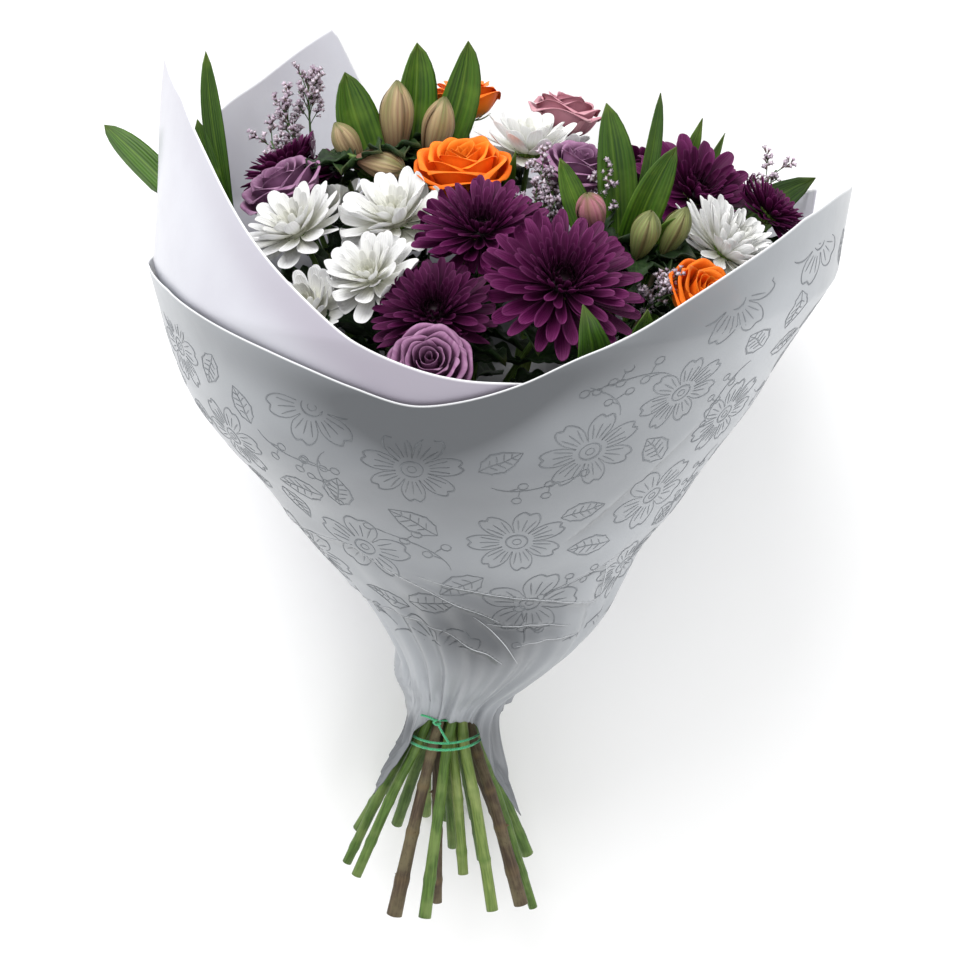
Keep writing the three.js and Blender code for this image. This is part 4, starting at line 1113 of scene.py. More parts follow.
def make_rose(name, node, kind, at, radius, facing):
    material, slot = ROSE_FINISHES[kind]
    draw = random.Random(name)
    bm = new_bm()
    for ring, (count, spread, *columns) in enumerate(ROSE_RINGS):
        wave = 0.028 if ring < 5 else 0.01
        for k in range(count):
            wide, droop = spread * draw.uniform(0.94, 1.06), draw.uniform(0.14, 0.26)
            phase, lean = draw.uniform(0, 6), draw.uniform(-0.04, 0.05)
            place = wrapped_petal(list(zip(*columns)), wide, droop, wave, phase, lean)
            around = (k + 0.5 * ring + draw.uniform(-0.08, 0.08)) / count * math.tau + ring * 0.4
            size, tall = draw.uniform(0.95, 1.0), draw.uniform(0.96, 1.0)
            matrix = Matrix.Rotation(around, 4, "Z") @ Matrix.Diagonal((size, size, tall, 1))
            shape = thin_shape(10, 8, ROSE_THICKNESS, place)
            plant_once(bm, shape, matrix, tint=draw.random(), heart=0.1 * ring)
    for k in range(SEPALS):
        sepal = thin_shape(2, 6, 0.02, ray_petal(SEPAL, 0.72, 0.2, -0.2, 0.9, 0.3, 0.3, 0))
        turn = Matrix.Rotation((k + 0.3) / SEPALS * math.tau, 4, "Z")
        matrix = turn @ Matrix.Translation((0.1, 0, 0.02))
        plant_once(bm, sepal, matrix, slot=1, tint=draw.random())
    made = bmesh.ops.create_uvsphere(bm, u_segments=12, v_segments=8, radius=0.16)["verts"]
    bmesh.ops.translate(bm, vec=(0, 0, 0.04), verts=made)
    for vert in made:
        for face in vert.link_faces:
            face.material_index = 1
    spot = spot_at(*head_of(at, radius, facing, ROSE_BEHIND), draw.uniform(0, 6))
    bmesh.ops.transform(bm, matrix=spot @ Matrix.Scale(radius, 4), verts=bm.verts[:])
    finish_piece(name, bm, [material, CALYX], [node], slot, inside=True)


for kind, roses in ROSES.items():
    for i, rose in enumerate(roses, 1):
        make_rose(f"{kind}_bloom_{i}", f"{kind}_{i}", kind, *rose)

# Rows of the table of wrapped_petal, with heights in lengths and distances in radii of the bud.
BUD_TABLE = [
    (0, 0.0, 0.25, 1),
    (0.25, 0.24, 0.66, 1),
    (0.6, 0.62, 1.0, 1),
    (0.8, 0.84, 0.8, 1),
    (0.93, 0.97, 0.42, 1.1),
    (1, 1.05, 0.03, 1.2),
]
# Each petal of a bud lies a little inside the one before.
NEXT_INWARD = 0.99


def make_lily_bud(name, node, material, foot, tip, radius):
    foot, tip = Vector(foot), Vector(tip)
    length = (tip - foot).length
    draw = random.Random(name)
    bm = new_bm()
    for tier, (inward, spread) in enumerate([(1.0, 64), (0.86, 62)]):
        for k in range(3):
            radius *= NEXT_INWARD
            table = [(t, high * length, out * radius * inward, wide) for t, high, out, wide in BUD_TABLE]
            place = wrapped_petal(table, spread, 0.06 * length, 0.25, draw.uniform(0, 6), 0.4)
            matrix = Matrix.Rotation((k + 0.5 * tier) / 3 * math.tau, 4, "Z")
            plant_once(bm, thin_shape(6, 8, 0.5, place), matrix, tint=draw.random())
    spot = spot_at(foot, (tip - foot).normalized(), draw.uniform(0, 6))
    bmesh.ops.transform(bm, matrix=spot, verts=bm.verts[:])
    finish_piece(name, bm, [material], [node], "lily_petals")


for i, (material, bud) in enumerate(zip(BUD_FINISHES, LILY_BUDS), 1):
    make_lily_bud(f"lily_bud_{i}", f"alstroemeria_bud_{i}", material, *bud)

# ---- Stems ----

TIE_RADIUS = 3.0
BRANCH_RADIUS, BRANCH_TIP_RADIUS = 1.7, 1.4
# Half length of the swelling at a joint and of its mark.
JOINT_SWELL, JOINT_MARK = 2.2, 1.4
# Radius of a stem at its top, with one head or with a fork.
SINGLE_TOP, FORKED_TOP = 2.3, 2.1
INNER_RING, OUTER_RING = 7.1, 13.703


def tie_place(number):
    """One place in the middle of the tie, a ring of six and a ring of twelve."""
    if number == 0:
        return Vector((0, 0, 0))
    if number <= 6:
        around, radius = math.radians(60 * (number - 1)), INNER_RING
    else:
        around, radius = math.radians(30 * (number - 7) + 15), OUTER_RING
    return polar(radius, around)


def daisy_heads(blooms, which):
    return [head_of(*blooms[i][1:4], DAISY_BEHIND) for i in which]


def rose_head(kind, which):
    return [head_of(*ROSES[kind][which], ROSE_BEHIND)]


def bud_heads(which):
    ends = [(Vector(foot), Vector(tip)) for foot, tip, _ in (LILY_BUDS[i] for i in which)]
    return [(foot, (tip - foot).normalized()) for foot, tip in ends]


# Node, place in the tie, foot, radius of the foot, look, heads, and the share of the way where
# the stem forks, or the point where it ends.
STEMS = [
    ("alstroemeria_stem_1", 0, (4, 10, -86), 3.2, "green", bud_heads([0, 1, 2, 3]), (-24, 21, 289)),
    ("limonium_spray_2", 1, (20, 14, -96), 2.8, "green", [], (92, -14, 258)),
    ("orange_rose_stem_2", 2, (30, 34, -84), 3.0, "brown", rose_head("orange_rose", 1), None),
    ("mauve_rose_stem_3", 3, (-28, 26, -80), 3.4, "green", rose_head("mauve_rose", 2), None),
    ("white_spray_stem_2", 4, (-49, 12, -76), 3.6, "green", daisy_heads(WHITE_BLOOMS, [1, 2]), 0.66),
    ("orange_rose_stem_1", 5, (-5, -12, -109), 3.2, "brown", rose_head("orange_rose", 0), None),
    ("mauve_rose_stem_2", 6, (10, -26, -84), 3.0, "pale", rose_head("mauve_rose", 1), None),
    ("pink_rose_stem", 7, (49, -6, -116), 2.6, "green", rose_head("pink_rose", 0), None),
    ("white_spray_stem_3", 8, (46, 12, -92), 3.6, "green", daisy_heads(WHITE_BLOOMS, [4, 6, 7]), 0.62),
    ("limonium_spray_1", 9, (16, 45.1, -86), 3.2, "green", [], (-72, 74, 292)),
    ("purple_spray_stem_3", 10, (0, 32, -80), 3.0, "green", daisy_heads(PURPLE_BLOOMS, [5, 6]), 0.7),
    ("alstroemeria_stem_3", 11, (-12, 45.8, -84), 3.2, "pale", [], (-108, 8, 266)),
    ("white_spray_stem_1", 12, (-36, 40, -66), 3.4, "green", daisy_heads(WHITE_BLOOMS, [0, 3]), 0.66),
    ("mauve_rose_stem_1", 13, (-55, -5, -88), 2.8, "green", rose_head("mauve_rose", 0), None),
    ("purple_spray_stem_1", 14, (-49, -22, -87), 3.0, "green", daisy_heads(PURPLE_BLOOMS, [0, 1, 2]), 0.66),
    ("alstroemeria_stem_2", 15, (-28, -30, -107), 4.6, "brown", bud_heads([4, 5, 6]), (92, -54, 262)),
    ("orange_rose_stem_3", 16, (-11, -42, -102), 3.7, "green", rose_head("orange_rose", 2), None),
    ("white_spray_stem_4", 17, (26, -38, -100), 3.4, "pale", daisy_heads(WHITE_BLOOMS, [5]), 0.7),
    ("purple_spray_stem_2", 18, (42, -22, -105), 4.2, "brown", daisy_heads(PURPLE_BLOOMS, [3, 4, 7]), 0.62),
]
STEM_FINISHES = {"green": GREEN_STEM, "brown": BROWN_STEM, "pale": PALE_STEM}


def stem_line(number, foot, heads, end):
    """The line of a stem from its foot through the tie, and the way that it arrives."""
    start = tie_place(number)
    if isinstance(end, tuple):
        top = Vector(end)
        arrive = (top - start).normalized()
    elif end is None:
        top, arrive = heads[0]
        top = top.copy()
    else:
        aim = sum((head for head, _ in heads), Vector()) / len(heads)
        top = start.lerp(aim, end)
        arrive = (aim - start).normalized()
    length = (top - start).length
    steep = ((top - start).normalized() + Vector((0, 0, 1.1))).normalized()
    rise = [start, start + steep * 0.3 * length, top - arrive * 0.22 * length, top]
    foot = Vector(foot)
    below = foot.lerp(start, 0.5) + Vector((0, 0, 2))
    above = [bezier(rise, share) for share in (0.16, 0.36, 0.58, 0.8, 1)]
    return line_through([foot, below, start, *above], 7), arrive


STEM_LINES = {}


def bunch_radius(height):
    """How far the stems reach from the axis at a height."""
    reach = 0.0
    for line in STEM_LINES.values():
        for a, b in zip(line, line[1:]):
            if a.z <= height <= b.z:
                middle = a.lerp(b, (height - a.z) / max(b.z - a.z, 1e-6))
                reach = max(reach, math.hypot(middle.x, middle.y) + TIE_RADIUS)
    return reach


def stem_joints(line, look, draw):
    """Distances from the foot where the stem has a joint."""
    gap = 24 if look == "brown" else 30
    total = lengths_along(line)[-1]
    places = []
    here = draw.uniform(8, gap)
    while here < total:
        places.append(here)
        here += gap * draw.uniform(0.7, 1.3)
    return places


def make_stem(node, number, foot, foot_radius, look, heads, end):
    draw = random.Random(node)
    line, arrive = stem_line(number, foot, heads, end)
    STEM_LINES[node] = line
    total = lengths_along(line)[-1]
    below = (Vector(foot) - tie_place(number)).length / total
    joints = stem_joints(line, look, draw)
    single = end is None
    bm = new_bm()

    def radius(share):
        if share < below:
            size = mix(TIE_RADIUS, foot_radius, (1 - share / below) ** 1.7)
        else:
            top = SINGLE_TOP if single else FORKED_TOP
            size = mix(TIE_RADIUS, top, (share - below) / (1 - below))
        swell = sum(bell(share * total - here, JOINT_SWELL) for here in joints)
        return size * (0.96 + 0.13 * min(swell, 1))

    dense = []
    for a, b in zip(line, line[1:]):
        steps = max(1, round((b - a).length / (3 if a.z < 30 else 9)))
        dense += [a.lerp(b, k / steps) for k in range(steps)]
    dense.append(line[-1])
    ribs = (7, 0.035) if look != "brown" else (5, 0.02)
    sweep(bm, dense, radius, 14, ribs=ribs, cap_slot=1)
    joint = bm.verts.layers.float["joint"]
    along = bm.verts.layers.float["along"]
    for vert in bm.verts:
        here = vert[along] * total
        vert[joint] = max((bell(here - place, JOINT_MARK) for place in joints), default=0.0)
    fork = point_on(line, 0.985)
    if not single:
        for head, facing in heads:
            size = (head - fork).length
            branch = [fork, fork.lerp(head, 0.45) + arrive * 14, head - facing * 0.35 * size, head]
            steps = curve_through(branch, 8)
            sweep(bm, steps, lambda share: mix(BRANCH_RADIUS, BRANCH_TIP_RADIUS, share), 8)
            BRANCHES.append((node, steps))
    if look == "brown":
        for place in joints:
            if place < 0.8 * total:
                add_thorn(bm, dense, place, radius(place / total), draw)
    bmesh.ops.recalc_face_normals(bm, faces=bm.faces[:])
    return bm


def add_thorn(bm, line, here, radius, draw):
    total = lengths_along(line)
    k = next((i for i, part in enumerate(total) if part >= here), len(line) - 1)
    spot = frames_along(line)[k] @ Matrix.Rotation(draw.uniform(0, math.tau), 4, "Z")
    tilt = Matrix.Rotation(math.radians(100), 4, "Y")
    matrix = spot @ Matrix.Translation((radius, 0, 0)) @ tilt @ Matrix.Diagonal((1.4, 0.8, 1, 1))
    made = bmesh.ops.create_cone(
        bm, cap_ends=True, segments=8, radius1=1.1, radius2=0.12, depth=3.0, matrix=matrix
    )["verts"]
    set_values(bm, made, joint=0.7)


BRANCHES = []
STEM_MESHES = {stem[0]: make_stem(*stem) for stem in STEMS}

# ---- Leaves ----

# Stem, share of its length where the leaf starts, tip, half its width, bow of its middle.
LEAVES = [
    ("alstroemeria_stem_1", 0.955, (-50, 20, 351), 12, (-6, 0, 0)),
    ("alstroemeria_stem_1", 0.97, (-13, 31, 364), 11, (6, 8, 0)),
    ("alstroemeria_stem_1", 0.96, (13, 26, 366), 10.5, (16, 6, -4)),
    ("alstroemeria_stem_2", 0.97, (81, -42, 348), 10.5, (5, 4, 0)),
    ("alstroemeria_stem_2", 0.98, (108, -32, 351), 4.5, (4, 4, 0)),
    ("alstroemeria_stem_2", 0.96, (114, -62, 331), 9.5, (-8, -8, 4)),
    ("alstroemeria_stem_2", 0.97, (58, -48, 322), 7.5, (-2, -6, 0)),
    ("alstroemeria_stem_2", 0.76, (66, -163, 281), 12, (24, -58, -24)),
    ("alstroemeria_stem_2", 0.84, (97, -140, 272), 9.5, (6, -36, -18)),
    ("alstroemeria_stem_2", 0.98, (116, -70, 298), 7, (0, -4, 4)),
    ("alstroemeria_stem_3", 0.98, (-119, 8, 364), 5.5, (-6, 0, 0)),
    ("alstroemeria_stem_3", 0.97, (-124, 4, 330), 5.5, (-6, 0, 4)),
    ("alstroemeria_stem_3", 0.95, (-180, 64, 314), 8, (-14, 14, 14)),
    ("purple_spray_stem_2", 0.98, (137, 62, 318), 7.5, (0, 14, 0)),
    ("purple_spray_stem_2", 0.97, (150, 72, 308), 5.5, (0, 14, 0)),
    ("purple_spray_stem_2", 0.99, (197, 54, 288), 13, (-8, 8, 34)),
    ("white_spray_stem_3", 0.99, (37, -33, 322), 5.5, (0, 0, -6)),
]
# Half width of a long leaf and of a lobed one along its length, as a share of its widest.
BLADE = [
    (0, 0.14), (0.2, 0.5), (0.42, 0.88), (0.62, 1.0), (0.78, 0.88), (0.9, 0.58), (0.97, 0.26), (1, 0.02)
]
LOBES = [
    (0, 0.1), (0.12, 0.12), (0.22, 0.55), (0.3, 0.78), (0.38, 0.5), (0.5, 0.95), (0.6, 1.0),
    (0.68, 0.62), (0.8, 0.72), (0.9, 0.5), (1, 0.06)
]
LEAF_TWIST = 0.5


def long_leaf(start, middle, tip, half, draw):
    """A leaf along a bowed line, twisted and folded up a little along its middle."""
    curve = [start, middle, tip]
    upward = Vector((0, -1, 0.2)).normalized()
    phase = draw.uniform(0, 6)

    def place(s, t):
        ahead = (bezier(curve, min(t + 0.01, 1)) - bezier(curve, max(t - 0.01, 0))).normalized()
        up = Matrix.Rotation(LEAF_TWIST * t, 3, ahead) @ upward
        up = (up - ahead * up.dot(ahead)).normalized()
        wide = half * read_curve(BLADE, t)
        lift = 0.28 * abs(s) * wide + 0.5 * math.sin(phase + 9 * t) * abs(s) - 0.1 * wide
        return bezier(curve, t) + ahead.cross(up) * (s * wide) + up * lift

    return thin_shape(8, 16, 0.5, place)


def make_leaves():
    for i, (node, share, tip, half, bow) in enumerate(LEAVES):
        draw = random.Random(i)
        start = point_on(STEM_LINES[node], share)
        middle = start.lerp(Vector(tip), 0.5) + Vector(bow)
        shape = long_leaf(start, middle, Vector(tip), half, draw)
        plant_once(STEM_MESHES[node], shape, Matrix(), slot=2, tint=draw.random())


make_leaves()


def lobed_leaf():
    """A chrysanthemum leaf with lobed sides, one unit long."""

    def place(s, t):
        half = 0.3 * read_off(LOBES, t)
        out, high, _ = arc_point(1.0, 0.35, -0.9, t)
        ruffle = 0.05 * math.sin(20 * t + 3 * s) * abs(s) + 0.12 * abs(s)
        return Vector((out, s * half, high + ruffle))

    return thin_shape(4, 18, 0.02, place)


# Share of the way along a branch, and length of the leaves there.
FILLER = [(0.3, 30), (0.5, 34), (0.72, 32), (0.9, 24)]


def make_filler():
    """Dark leaves in the gaps under the heads."""
    draw = random.Random(3)
    shapes = [lobed_leaf()] * 2
    for node, steps in BRANCHES:
        for share, size in FILLER:
            spot = bezier([steps[0], steps[4], steps[8]], share)
            for _ in range(2):
                matrix = (
                    Matrix.Translation(spot)
                    @ Matrix.Rotation(draw.uniform(0, math.tau), 4, "Z")
                    @ Matrix.Rotation(math.radians(draw.uniform(-35, 15)), 4, "Y")
                    @ Matrix.Rotation(math.radians(draw.uniform(-40, 40)), 4, "X")
                    @ Matrix.Scale(size * draw.uniform(0.85, 1.15), 4)
                )
                plant(STEM_MESHES[node], draw.choice(shapes), matrix, slot=3, tint=draw.random())


make_filler()

# ---- Limonium ----

# Node: middle of a cluster of florets, share of the stem where its branch leaves, size.
CLUSTERS = {
    "limonium_spray_1": [
        ((-72, 70, 332), 0.985, 14),
        ((-85, 70, 322), 0.9, 11),
        ((-92, 66, 305), 0.8, 13),
        ((-86, 58, 296), 0.75, 11),
    ],
    "limonium_spray_2": [
        ((46, -55, 302), 0.9, 15),
        ((49, -45, 315), 0.92, 10),
        ((79, -46, 308), 0.985, 11),
        ((108, -100, 271), 0.86, 16),
        ((177, 62, 290), 0.8, 17),
    ],
}


# Twigs in a cluster, florets on a twig.
TWIGS, FLORETS = 11, 11
TWIG_RADIUS = 0.35


def floret_shape():
    """A small funnel with five lobes in a dry cup."""
    bm = new_bm()
    cup = dict(segments=5, radius1=0.25, radius2=0.6, depth=2.0, matrix=Matrix.Translation((0, 0, 1.0)))
    bmesh.ops.create_cone(bm, cap_ends=True, **cup)
    for face in bm.faces:
        face.material_index = 1
    funnel = dict(segments=10, radius1=0.5, radius2=1.25, depth=1.1, matrix=Matrix.Translation((0, 0, 2.3)))
    crown = bmesh.ops.create_cone(bm, cap_ends=True, **funnel)["verts"]
    top = sorted((v for v in crown if v.co.z > 2.5), key=lambda v: math.atan2(v.co.y, v.co.x))
    for vert in top[::2]:
        vert.co.xy *= 0.55
        vert.co.z -= 0.25
    return keep_shape(bm)


FLORET_SHAPE = floret_shape()


def make_cluster(bm, line, at, share, size, draw):
    start = point_on(line, share)
    end = Vector(at)
    branch = [start, start.lerp(end, 0.5) + Vector((0, 0, -6)), end]
    steps = curve_through(branch, 10)
    sweep(bm, steps, lambda s: mix(0.8, 0.45, s), 6, slot=6)
    ahead = (steps[-1] - steps[-2]).normalized()
    aside = ahead.orthogonal().normalized()
    for i in range(TWIGS):
        foot = bezier(branch, 0.98 - 0.035 * i)
        way = (Matrix.Rotation(i * 2.4, 3, ahead) @ aside) * draw.uniform(0.5, 1.1) + ahead * 1.1
        way.z += 0.4
        tip = foot + way.normalized() * size * draw.uniform(0.7, 1.15)
        twig = [foot, foot.lerp(tip, 0.5) + ahead * 2, tip]
        sweep(bm, curve_through(twig, 4), lambda s: TWIG_RADIUS, 4, slot=6)
        for k in range(FLORETS):
            out = Vector([draw.uniform(-1, 1) for _ in range(3)])
            out = (out + way.normalized() * 0.9 + Vector((0, -0.2, 0.4))).normalized()
            spot = bezier(twig, mix(0.35, 1.0, k / (FLORETS - 1))) + out
            scale = Matrix.Scale(draw.uniform(0.95, 1.45), 4)
            matrix = spot_at(spot, out, draw.uniform(0, 6)) @ scale
            plant(bm, FLORET_SHAPE, matrix, slot=4, tint=draw.random())


for node, clusters in CLUSTERS.items():
    draw = random.Random(node)
    for at, share, size in clusters:
        make_cluster(STEM_MESHES[node], STEM_LINES[node], at, share, size, draw)

for node, _, _, _, look, _, _ in STEMS:
    materials = [STEM_FINISHES[look], CUT_END, LILY_LEAF, DARK_LEAF, FLORET, FLORET_CUP, TWIG]
    slot = {s["node"]: s["material_slot"] for s in frame["record"]["subparts"]}[node]
    finish_piece(f"{node}_detail", STEM_MESHES[node], materials, [node], slot, subdivide=0, inside=True)

# ---- Twine ----

TWINE_LOOPS = [6, -6.5, -9.6]
TWINE_START = math.radians(75)
STRANDS = 3
STRAND_RADIUS, STRAND_REACH = 0.62, 0.52
# Radians that a strand turns in a millimetre of the twine.
STRAND_TWIST = 1.25
# The way and the length of both ends.
TWINE_ENDS = [((-0.8, -0.3, 0.5), 11), ((0.5, -0.4, -0.8), 13)]


def twine_line():
    """The middle of the twine: turns at the heights of TWINE_LOOPS, close round the stems."""
    turns = len(TWINE_LOOPS)
    steps = 40
    line = []
    for i in range(turns * steps - 4):
        turn = i / steps
        loop = min(int(turn), turns - 1)
        drop = smooth(turn - loop, 0.6, 1.0)
        height = mix(TWINE_LOOPS[loop], TWINE_LOOPS[min(loop + 1, turns - 1)], drop)
        height += 0.8 * math.cos(turn * math.tau)
        reach = bunch_radius(height) + 1.3
        line.append(polar(reach, turn * math.tau + TWINE_START, height))
    return line


def make_twine():
    bm = new_bm()
    cord = twine_line()
    frames = frames_along(cord)
    total = lengths_along(cord)
    for strand in range(STRANDS):
        line = []
        for spot, length in zip(frames, total):
            turn = length * STRAND_TWIST + strand * math.tau / STRANDS
            line.append(spot @ polar(STRAND_REACH, turn))
        sweep(bm, line, lambda share: STRAND_RADIUS, 6)
    knot = Vector((-4, -bunch_radius(4) - 2.6, 5))
    for k, (way, length) in enumerate(TWINE_ENDS):
        way = Vector(way).normalized()
        end = [knot, knot + way * length * 0.5 + Vector((0, 0, 1.5 - 3 * k)), knot + way * length]
        sweep(bm, curve_through(end, 8), lambda share: 0.8, 6)
    ring = []
    for k in range(10):
        turn = k / 9 * math.tau
        bow = Vector((2.0 * math.cos(turn), -0.6 + 0.7 * math.sin(2 * turn), 1.7 * math.sin(turn)))
        ring.append(knot + bow)
    sweep(bm, ring, lambda share: 0.9, 6)
    finish_piece("twine_strands", bm, [TWINE], ["twine_tie"], "twine", subdivide=1)


make_twine()

# ---- Wrapper ----


def make_film(name, node, edges, inset, material, slot, steps, rows):
    bm = new_bm()
    bmesh.ops.create_grid(bm, x_segments=steps, y_segments=rows, size=0.5)
    layers = bm.verts.layers.float
    rim, ridge, core, painted_inner_shade = (layers[key] for key in ("rim", "ridge", "core", "heart"))
    first, last = edges[0][0], edges[-1][0]
    spots = {}
    for vert in bm.verts:
        u, v = vert.co.x + 0.5, vert.co.y + 0.5
        around = mix(first, last, u)
        _, top, height = film_place(edges, around, 1 - (1 - v) ** ROW_POWER)
        vert.co = film_point(around, height, inset)
        spots[round(u * steps), round(v * rows)] = vert.co.copy()
        # Mask of the painted highlight along the cut edge of the rim.
        vert[rim] = 1 - smooth(top - height, 0.0, 0.9)
        # Mask of the painted light above and the painted shade below each fold.
        vert[ridge] = fold_at(around, height, read_curve(FILM_PROFILE, height, 2))[1]
        # Painted shade for the dark inside of the bunch seen through the film.
        vert[core] = painted_film_shade(around, height, top)
    # Painted shade on the inner side of the film, fading out towards the rim.
    for vert in thicken(bm, FILM_THICKNESS):
        vert[painted_inner_shade] = 0.9 * (1 - smooth(vert.co.z, 205, 255))
    finish_piece(name, bm, [material], [node], slot, subdivide=0)
    return spots


def painted_film_shade(around, height, top):
    """How much painted shade the film gets at a place, for the dark inside of the bunch seen through it."""
    front = bell(degrees_between(around, 266), 40)
    collar = bell(top - height - 10, 22)
    heads = bell(height - 185, 50)
    gather = bell(height - 78, 36)
    tails = 1 - smooth(height, -4, 16)
    front *= 0.5 * heads + 0.8 * collar + 0.95 * gather + 0.15
    return clamp(front + 0.12 * collar + 0.7 * tails)


# Rows lie closer together towards the rim, by this power.
ROW_POWER = 1.1
OUTER_STEPS, OUTER_ROWS = 280, 130
BUNCH_AT.update({height: bunch_radius(height) for height in range(-60, 42, 2)})
OUTER = ("outer_film", "outer_film_sheet", OUTER_SHEET, 0.0, GREY_FILM, "grey_film")
INNER = ("inner_film", "inner_film_sheet", INNER_SHEET, SHEET_SPACING, WHITE_FILM, "white_film")
OUTER_SPOTS = make_film(*OUTER, OUTER_STEPS, OUTER_ROWS)
make_film(*INNER, 280, 110)

# ---- Line print and fold lines on the outer sheet ----


def on_outer_film(around, height, lift):
    """The point above the mesh of the outer sheet at a place."""
    first, last = OUTER_SHEET[0][0], OUTER_SHEET[-1][0]
    low, high, _ = film_place(OUTER_SHEET, around, 0.0)
    share = clamp((height - low) / (high - low))
    u = clamp((around - first) / (last - first)) * OUTER_STEPS
    v = (1 - (1 - share) ** (1 / ROW_POWER)) * OUTER_ROWS
    i, k = min(int(u), OUTER_STEPS - 1), min(int(v), OUTER_ROWS - 1)
    a, b, c, d = (OUTER_SPOTS[i + x, k + y] for x, y in ((0, 0), (1, 0), (0, 1), (1, 1)))
    normal = (d - a).cross(c - b).normalized()
    return a.lerp(b, u - i).lerp(c.lerp(d, u - i), v - k) + normal * lift


# The print ends at this angle, starts at this height and stops this far under the rim.
PRINT_END, PRINT_FROM, PRINT_BELOW_RIM = 356, 66, 19
# Drawn heights are shortened by this share.
PRINT_SQUASH = 0.86
INK_WIDTH, THIN_INK, FINE_INK = 0.95, 0.7, 0.65
INK_LIFT, FOLD_LIFT = 0.14, 0.18


class Pen:
    """Draws thin strips on the outer sheet, in millimetres from a middle and turned by an angle."""

    def __init__(self, bm, around, height, turn=0.0, size=1.0, lift=INK_LIFT, slot=0):
        self.bm = bm
        self.around, self.height = around, height
        self.turn, self.size = turn, size
        self.radius = read_curve(FILM_PROFILE, height, 2)
        self.lift, self.slot = lift, slot

    def on_film(self, x, y):
        c, s = math.cos(self.turn), math.sin(self.turn)
        x, y = self.size * (x * c - y * s), self.size * (x * s + y * c)
        around = self.around + math.degrees(x / self.radius)
        return around, self.height + PRINT_SQUASH * y

    def inside(self, around, height):
        if not OUTER_SHEET[0][0] + 2 < around < PRINT_END:
            return False
        return PRINT_FROM < height < read_curve(OUTER_SHEET, around, 2, CORNERS) - PRINT_BELOW_RIM

    def stroke(self, points, width=INK_WIDTH):
        """Draws the part of a line that lies on the printed area."""
        run = []
        for spot in [self.on_film(x, y) for x, y in points] + [(0, 0)]:
            if self.inside(*spot):
                run.append(spot)
                continue
            if len(run) > 2:
                self.strip(run, width)
            run = []

    def strip(self, spots, width):
        count = len(spots) - 1
        core = self.bm.verts.layers.float["core"]
        made = bmesh.ops.create_grid(self.bm, x_segments=count, y_segments=1, size=0.5)["verts"]
        for face in {face for vert in made for face in vert.link_faces}:
            face.material_index = self.slot
        for vert in made:
            k = round((vert.co.x + 0.5) * count)
            (a0, h0), (a1, h1) = spots[max(k - 1, 0)], spots[min(k + 1, count)]
            ax, ay = way_on_film(a1 - a0, h1 - h0, self.radius)
            span = math.hypot(ax, ay) or 1.0
            taper = 0.25 + 0.75 * math.sin(math.pi * k / count)
            off = math.copysign(0.5 * width * taper, vert.co.y)
            around = spots[k][0] - math.degrees(ay / span * off / self.radius)
            height = spots[k][1] + ax / span * off
            vert.co = on_outer_film(around, height, self.lift)
            # The strip takes the painted shade of the film under it.
            vert[core] = painted_film_shade(around, height, read_curve(OUTER_SHEET, around, 2, CORNERS))


def loop_points(count, radius):
    return [polar(radius, k / count * math.tau).xy for k in range(count + 1)]


def draw_blossom(pen, petals):
    """An open blossom: notched petals round a ring and a small heart."""
    for k in range(petals):
        a = k / petals * math.tau
        half = math.pi / petals
        outline = []
        for j in range(19):
            t = j / 18
            b = a + mix(-half, half, t) * (1.0 if 0 < j < 18 else 0.96)
            reach = 5 + 11 * math.sin(math.pi * t) ** 0.55 - 1.8 * bell(t - 0.5, 0.08)
            outline.append(polar(reach, b).xy)
        pen.stroke(outline)
        for lean in (-0.35, 0.0, 0.35):
            b = a + half * lean
            pen.stroke([polar(r, b + 0.02 * r * lean).xy for r in (5.5, 7.5, 9.5, 11.5)], FINE_INK)
    pen.stroke(loop_points(20, 3.4))
    pen.stroke(loop_points(12, 1.4), 0.5)


def draw_leaf(pen):
    """A leaf with a toothed edge, a midrib and side veins."""
    length, half = 16, 4.6

    def at(u, v):
        return u - 0.5 * length, v

    for side in (-1, 1):
        edge = []
        for j in range(17):
            t = j / 16
            tooth = 0.8 if j % 4 == 3 else 0.0
            edge.append(at(t * length, side * (half * math.sin(math.pi * t**0.9) + tooth * (1 - t))))
        pen.stroke(edge)
    pen.stroke([at(t * length / 8, 0.3 * math.sin(t)) for t in range(9)], THIN_INK)
    for t in (0.25, 0.42, 0.58, 0.74):
        for side in (-1, 1):
            wide = side * 0.72 * half * math.sin(math.pi * t**0.9)
            pen.stroke([at((t + 0.1 * q) * length, wide * q) for q in (0.05, 0.4, 0.75, 1.0)], FINE_INK)


def draw_spray(pen):
    """A curved stalk with small round buds."""

    def at(u, v):
        return u - 9, v - 2

    pen.stroke([at(u, 0.05 * u * u) for u in range(0, 19, 2)], THIN_INK)
    for u, side in ((5, 1), (8, -1), (11, 1), (14, -1), (17, 1)):
        v = 0.05 * u * u
        pen.stroke([at(u, v), at(u + 1.2, v + side * 1.6), at(u + 2, v + side * 3)], FINE_INK)
        bud = [polar(1.5, k * 0.785) for k in range(9)]
        pen.stroke([at(u + 2.4 + spot.x, v + side * 4.2 + spot.y) for spot in bud], THIN_INK)


def draw_folds(bm):
    """Pale lines along the sharpest folds, where the film is bent over: partly film whitened by the bend,
    partly a painted highlight.
    """
    for a0, h0, a1, h1, _, deep in FOLDS:
        if deep < SHARP_FOLD:
            continue
        pen = Pen(bm, 0.5 * (a0 + a1), 0.5 * (h0 + h1), lift=FOLD_LIFT, slot=1)
        spots = []
        for k in range(3, 58):
            share = k / 60
            around, height = mix(a0, a1, share), mix(h0, h1, share)
            radius = read_curve(FILM_PROFILE, height, 2)
            ax, ay = way_on_film(a1 - a0, h1 - h0, radius)
            sway = fold_sway(share, a0) / math.hypot(ax, ay)
            spots.append((around - math.degrees(ay * sway / radius), height + ax * sway))
        pen.strip(spots, 0.5)


# Motif, how far it reaches from its middle, and how many places are tried for it.
MOTIFS = [("blossom", 16.5, 500), ("leaf", 7.5, 1400), ("spray", 5.5, 900)]
INK_THICKNESS = 0.08


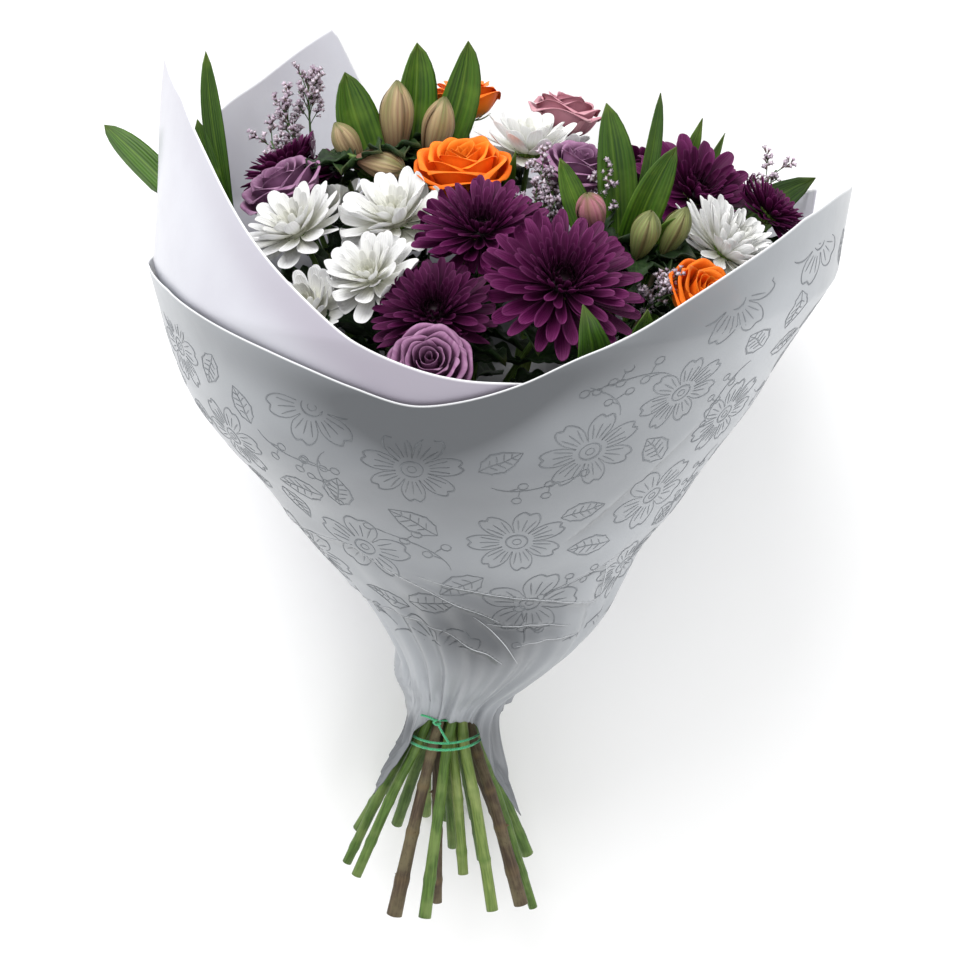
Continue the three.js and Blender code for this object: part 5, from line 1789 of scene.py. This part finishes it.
def make_print():
    """Blossoms first, then leaves and sprays in the room between them."""
    bm = new_bm()
    draw = random.Random(11)
    taken = []
    for motif, reach, tries in MOTIFS:
        for _ in range(tries):
            around, height = draw.uniform(178, PRINT_END), draw.uniform(60, 300)
            turn, size, petals = draw.uniform(0, 6), draw.uniform(1.45, 1.8), draw.choice((5, 6, 7))
            pen = Pen(bm, around, height, turn, size)
            room = [
                math.hypot(*way_on_film(around - a, (height - h) / PRINT_SQUASH, pen.radius)) - r
                for a, h, r in taken
            ]
            if min(room, default=math.inf) < reach * size:
                continue
            if motif != "blossom" and not pen.inside(around, height + 0.8 * reach * size):
                continue
            taken.append((around, height, reach * size))
            if motif == "blossom":
                draw_blossom(pen, petals)
            elif motif == "leaf":
                draw_leaf(pen)
            else:
                draw_spray(pen)
    draw_folds(bm)
    thicken(bm, INK_THICKNESS)
    finish_piece("film_print", bm, [PRINT, FOLD_WHITENING_AND_HIGHLIGHT], [], "grey_film", subdivide=0)


make_print()

# ---- Floor, light and camera ----

CAMERA_FROM_TIE = Vector((0.0192, 0.1287, 1.4469))


def make_floor():
    bm = bmesh.new()
    bmesh.ops.create_grid(bm, x_segments=1, y_segments=1, size=6.0)
    floor = add_object("floor", keep_shape(bm))
    f = Finish("pale_floor", Roughness=0.8, Specular_IOR_Level=0.1)
    floor.data.materials.append(f.paint(f.blend(f.noise(2.0, 2.0), *colours("f2f2f2 f6f6f6"))))
    floor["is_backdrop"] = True


def add_light(name, at, toward, size, power):
    data = bpy.data.lights.new(name, "AREA")
    data.shape = "DISK"
    data.size = size
    data.energy = power
    lamp = add_object(name, data)
    lamp.location = at
    lamp.rotation_euler = (Vector(toward) - Vector(at)).to_track_quat("-Z", "Y").to_euler()


def light_and_look():
    scene = bpy.context.scene
    world = bpy.data.worlds.new("studio")
    world.use_nodes = True
    sky = world.node_tree.nodes["Background"].inputs
    sky["Color"].default_value = (1, 1, 1, 1)
    sky["Strength"].default_value = 0.98
    scene.world = world
    scene.view_settings.view_transform = "Standard"
    add_light("key", (-0.5, 1.5, 1.5), (0, 0.1, 0.1), 1.5, 33)
    add_light("fill", (0.9, -1.2, 1.6), (0, 0, 0.1), 1.4, 8)
    data = bpy.data.cameras.new("camera")
    data.lens = 99.0
    data.sensor_width = 36.0
    camera = add_object("camera", data)
    camera.location = TIE + CAMERA_FROM_TIE
    scene.camera = camera


make_floor()
light_and_look()

plain = [[list(map(float, corner)) for corner in box] for box in (cad_box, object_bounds())]
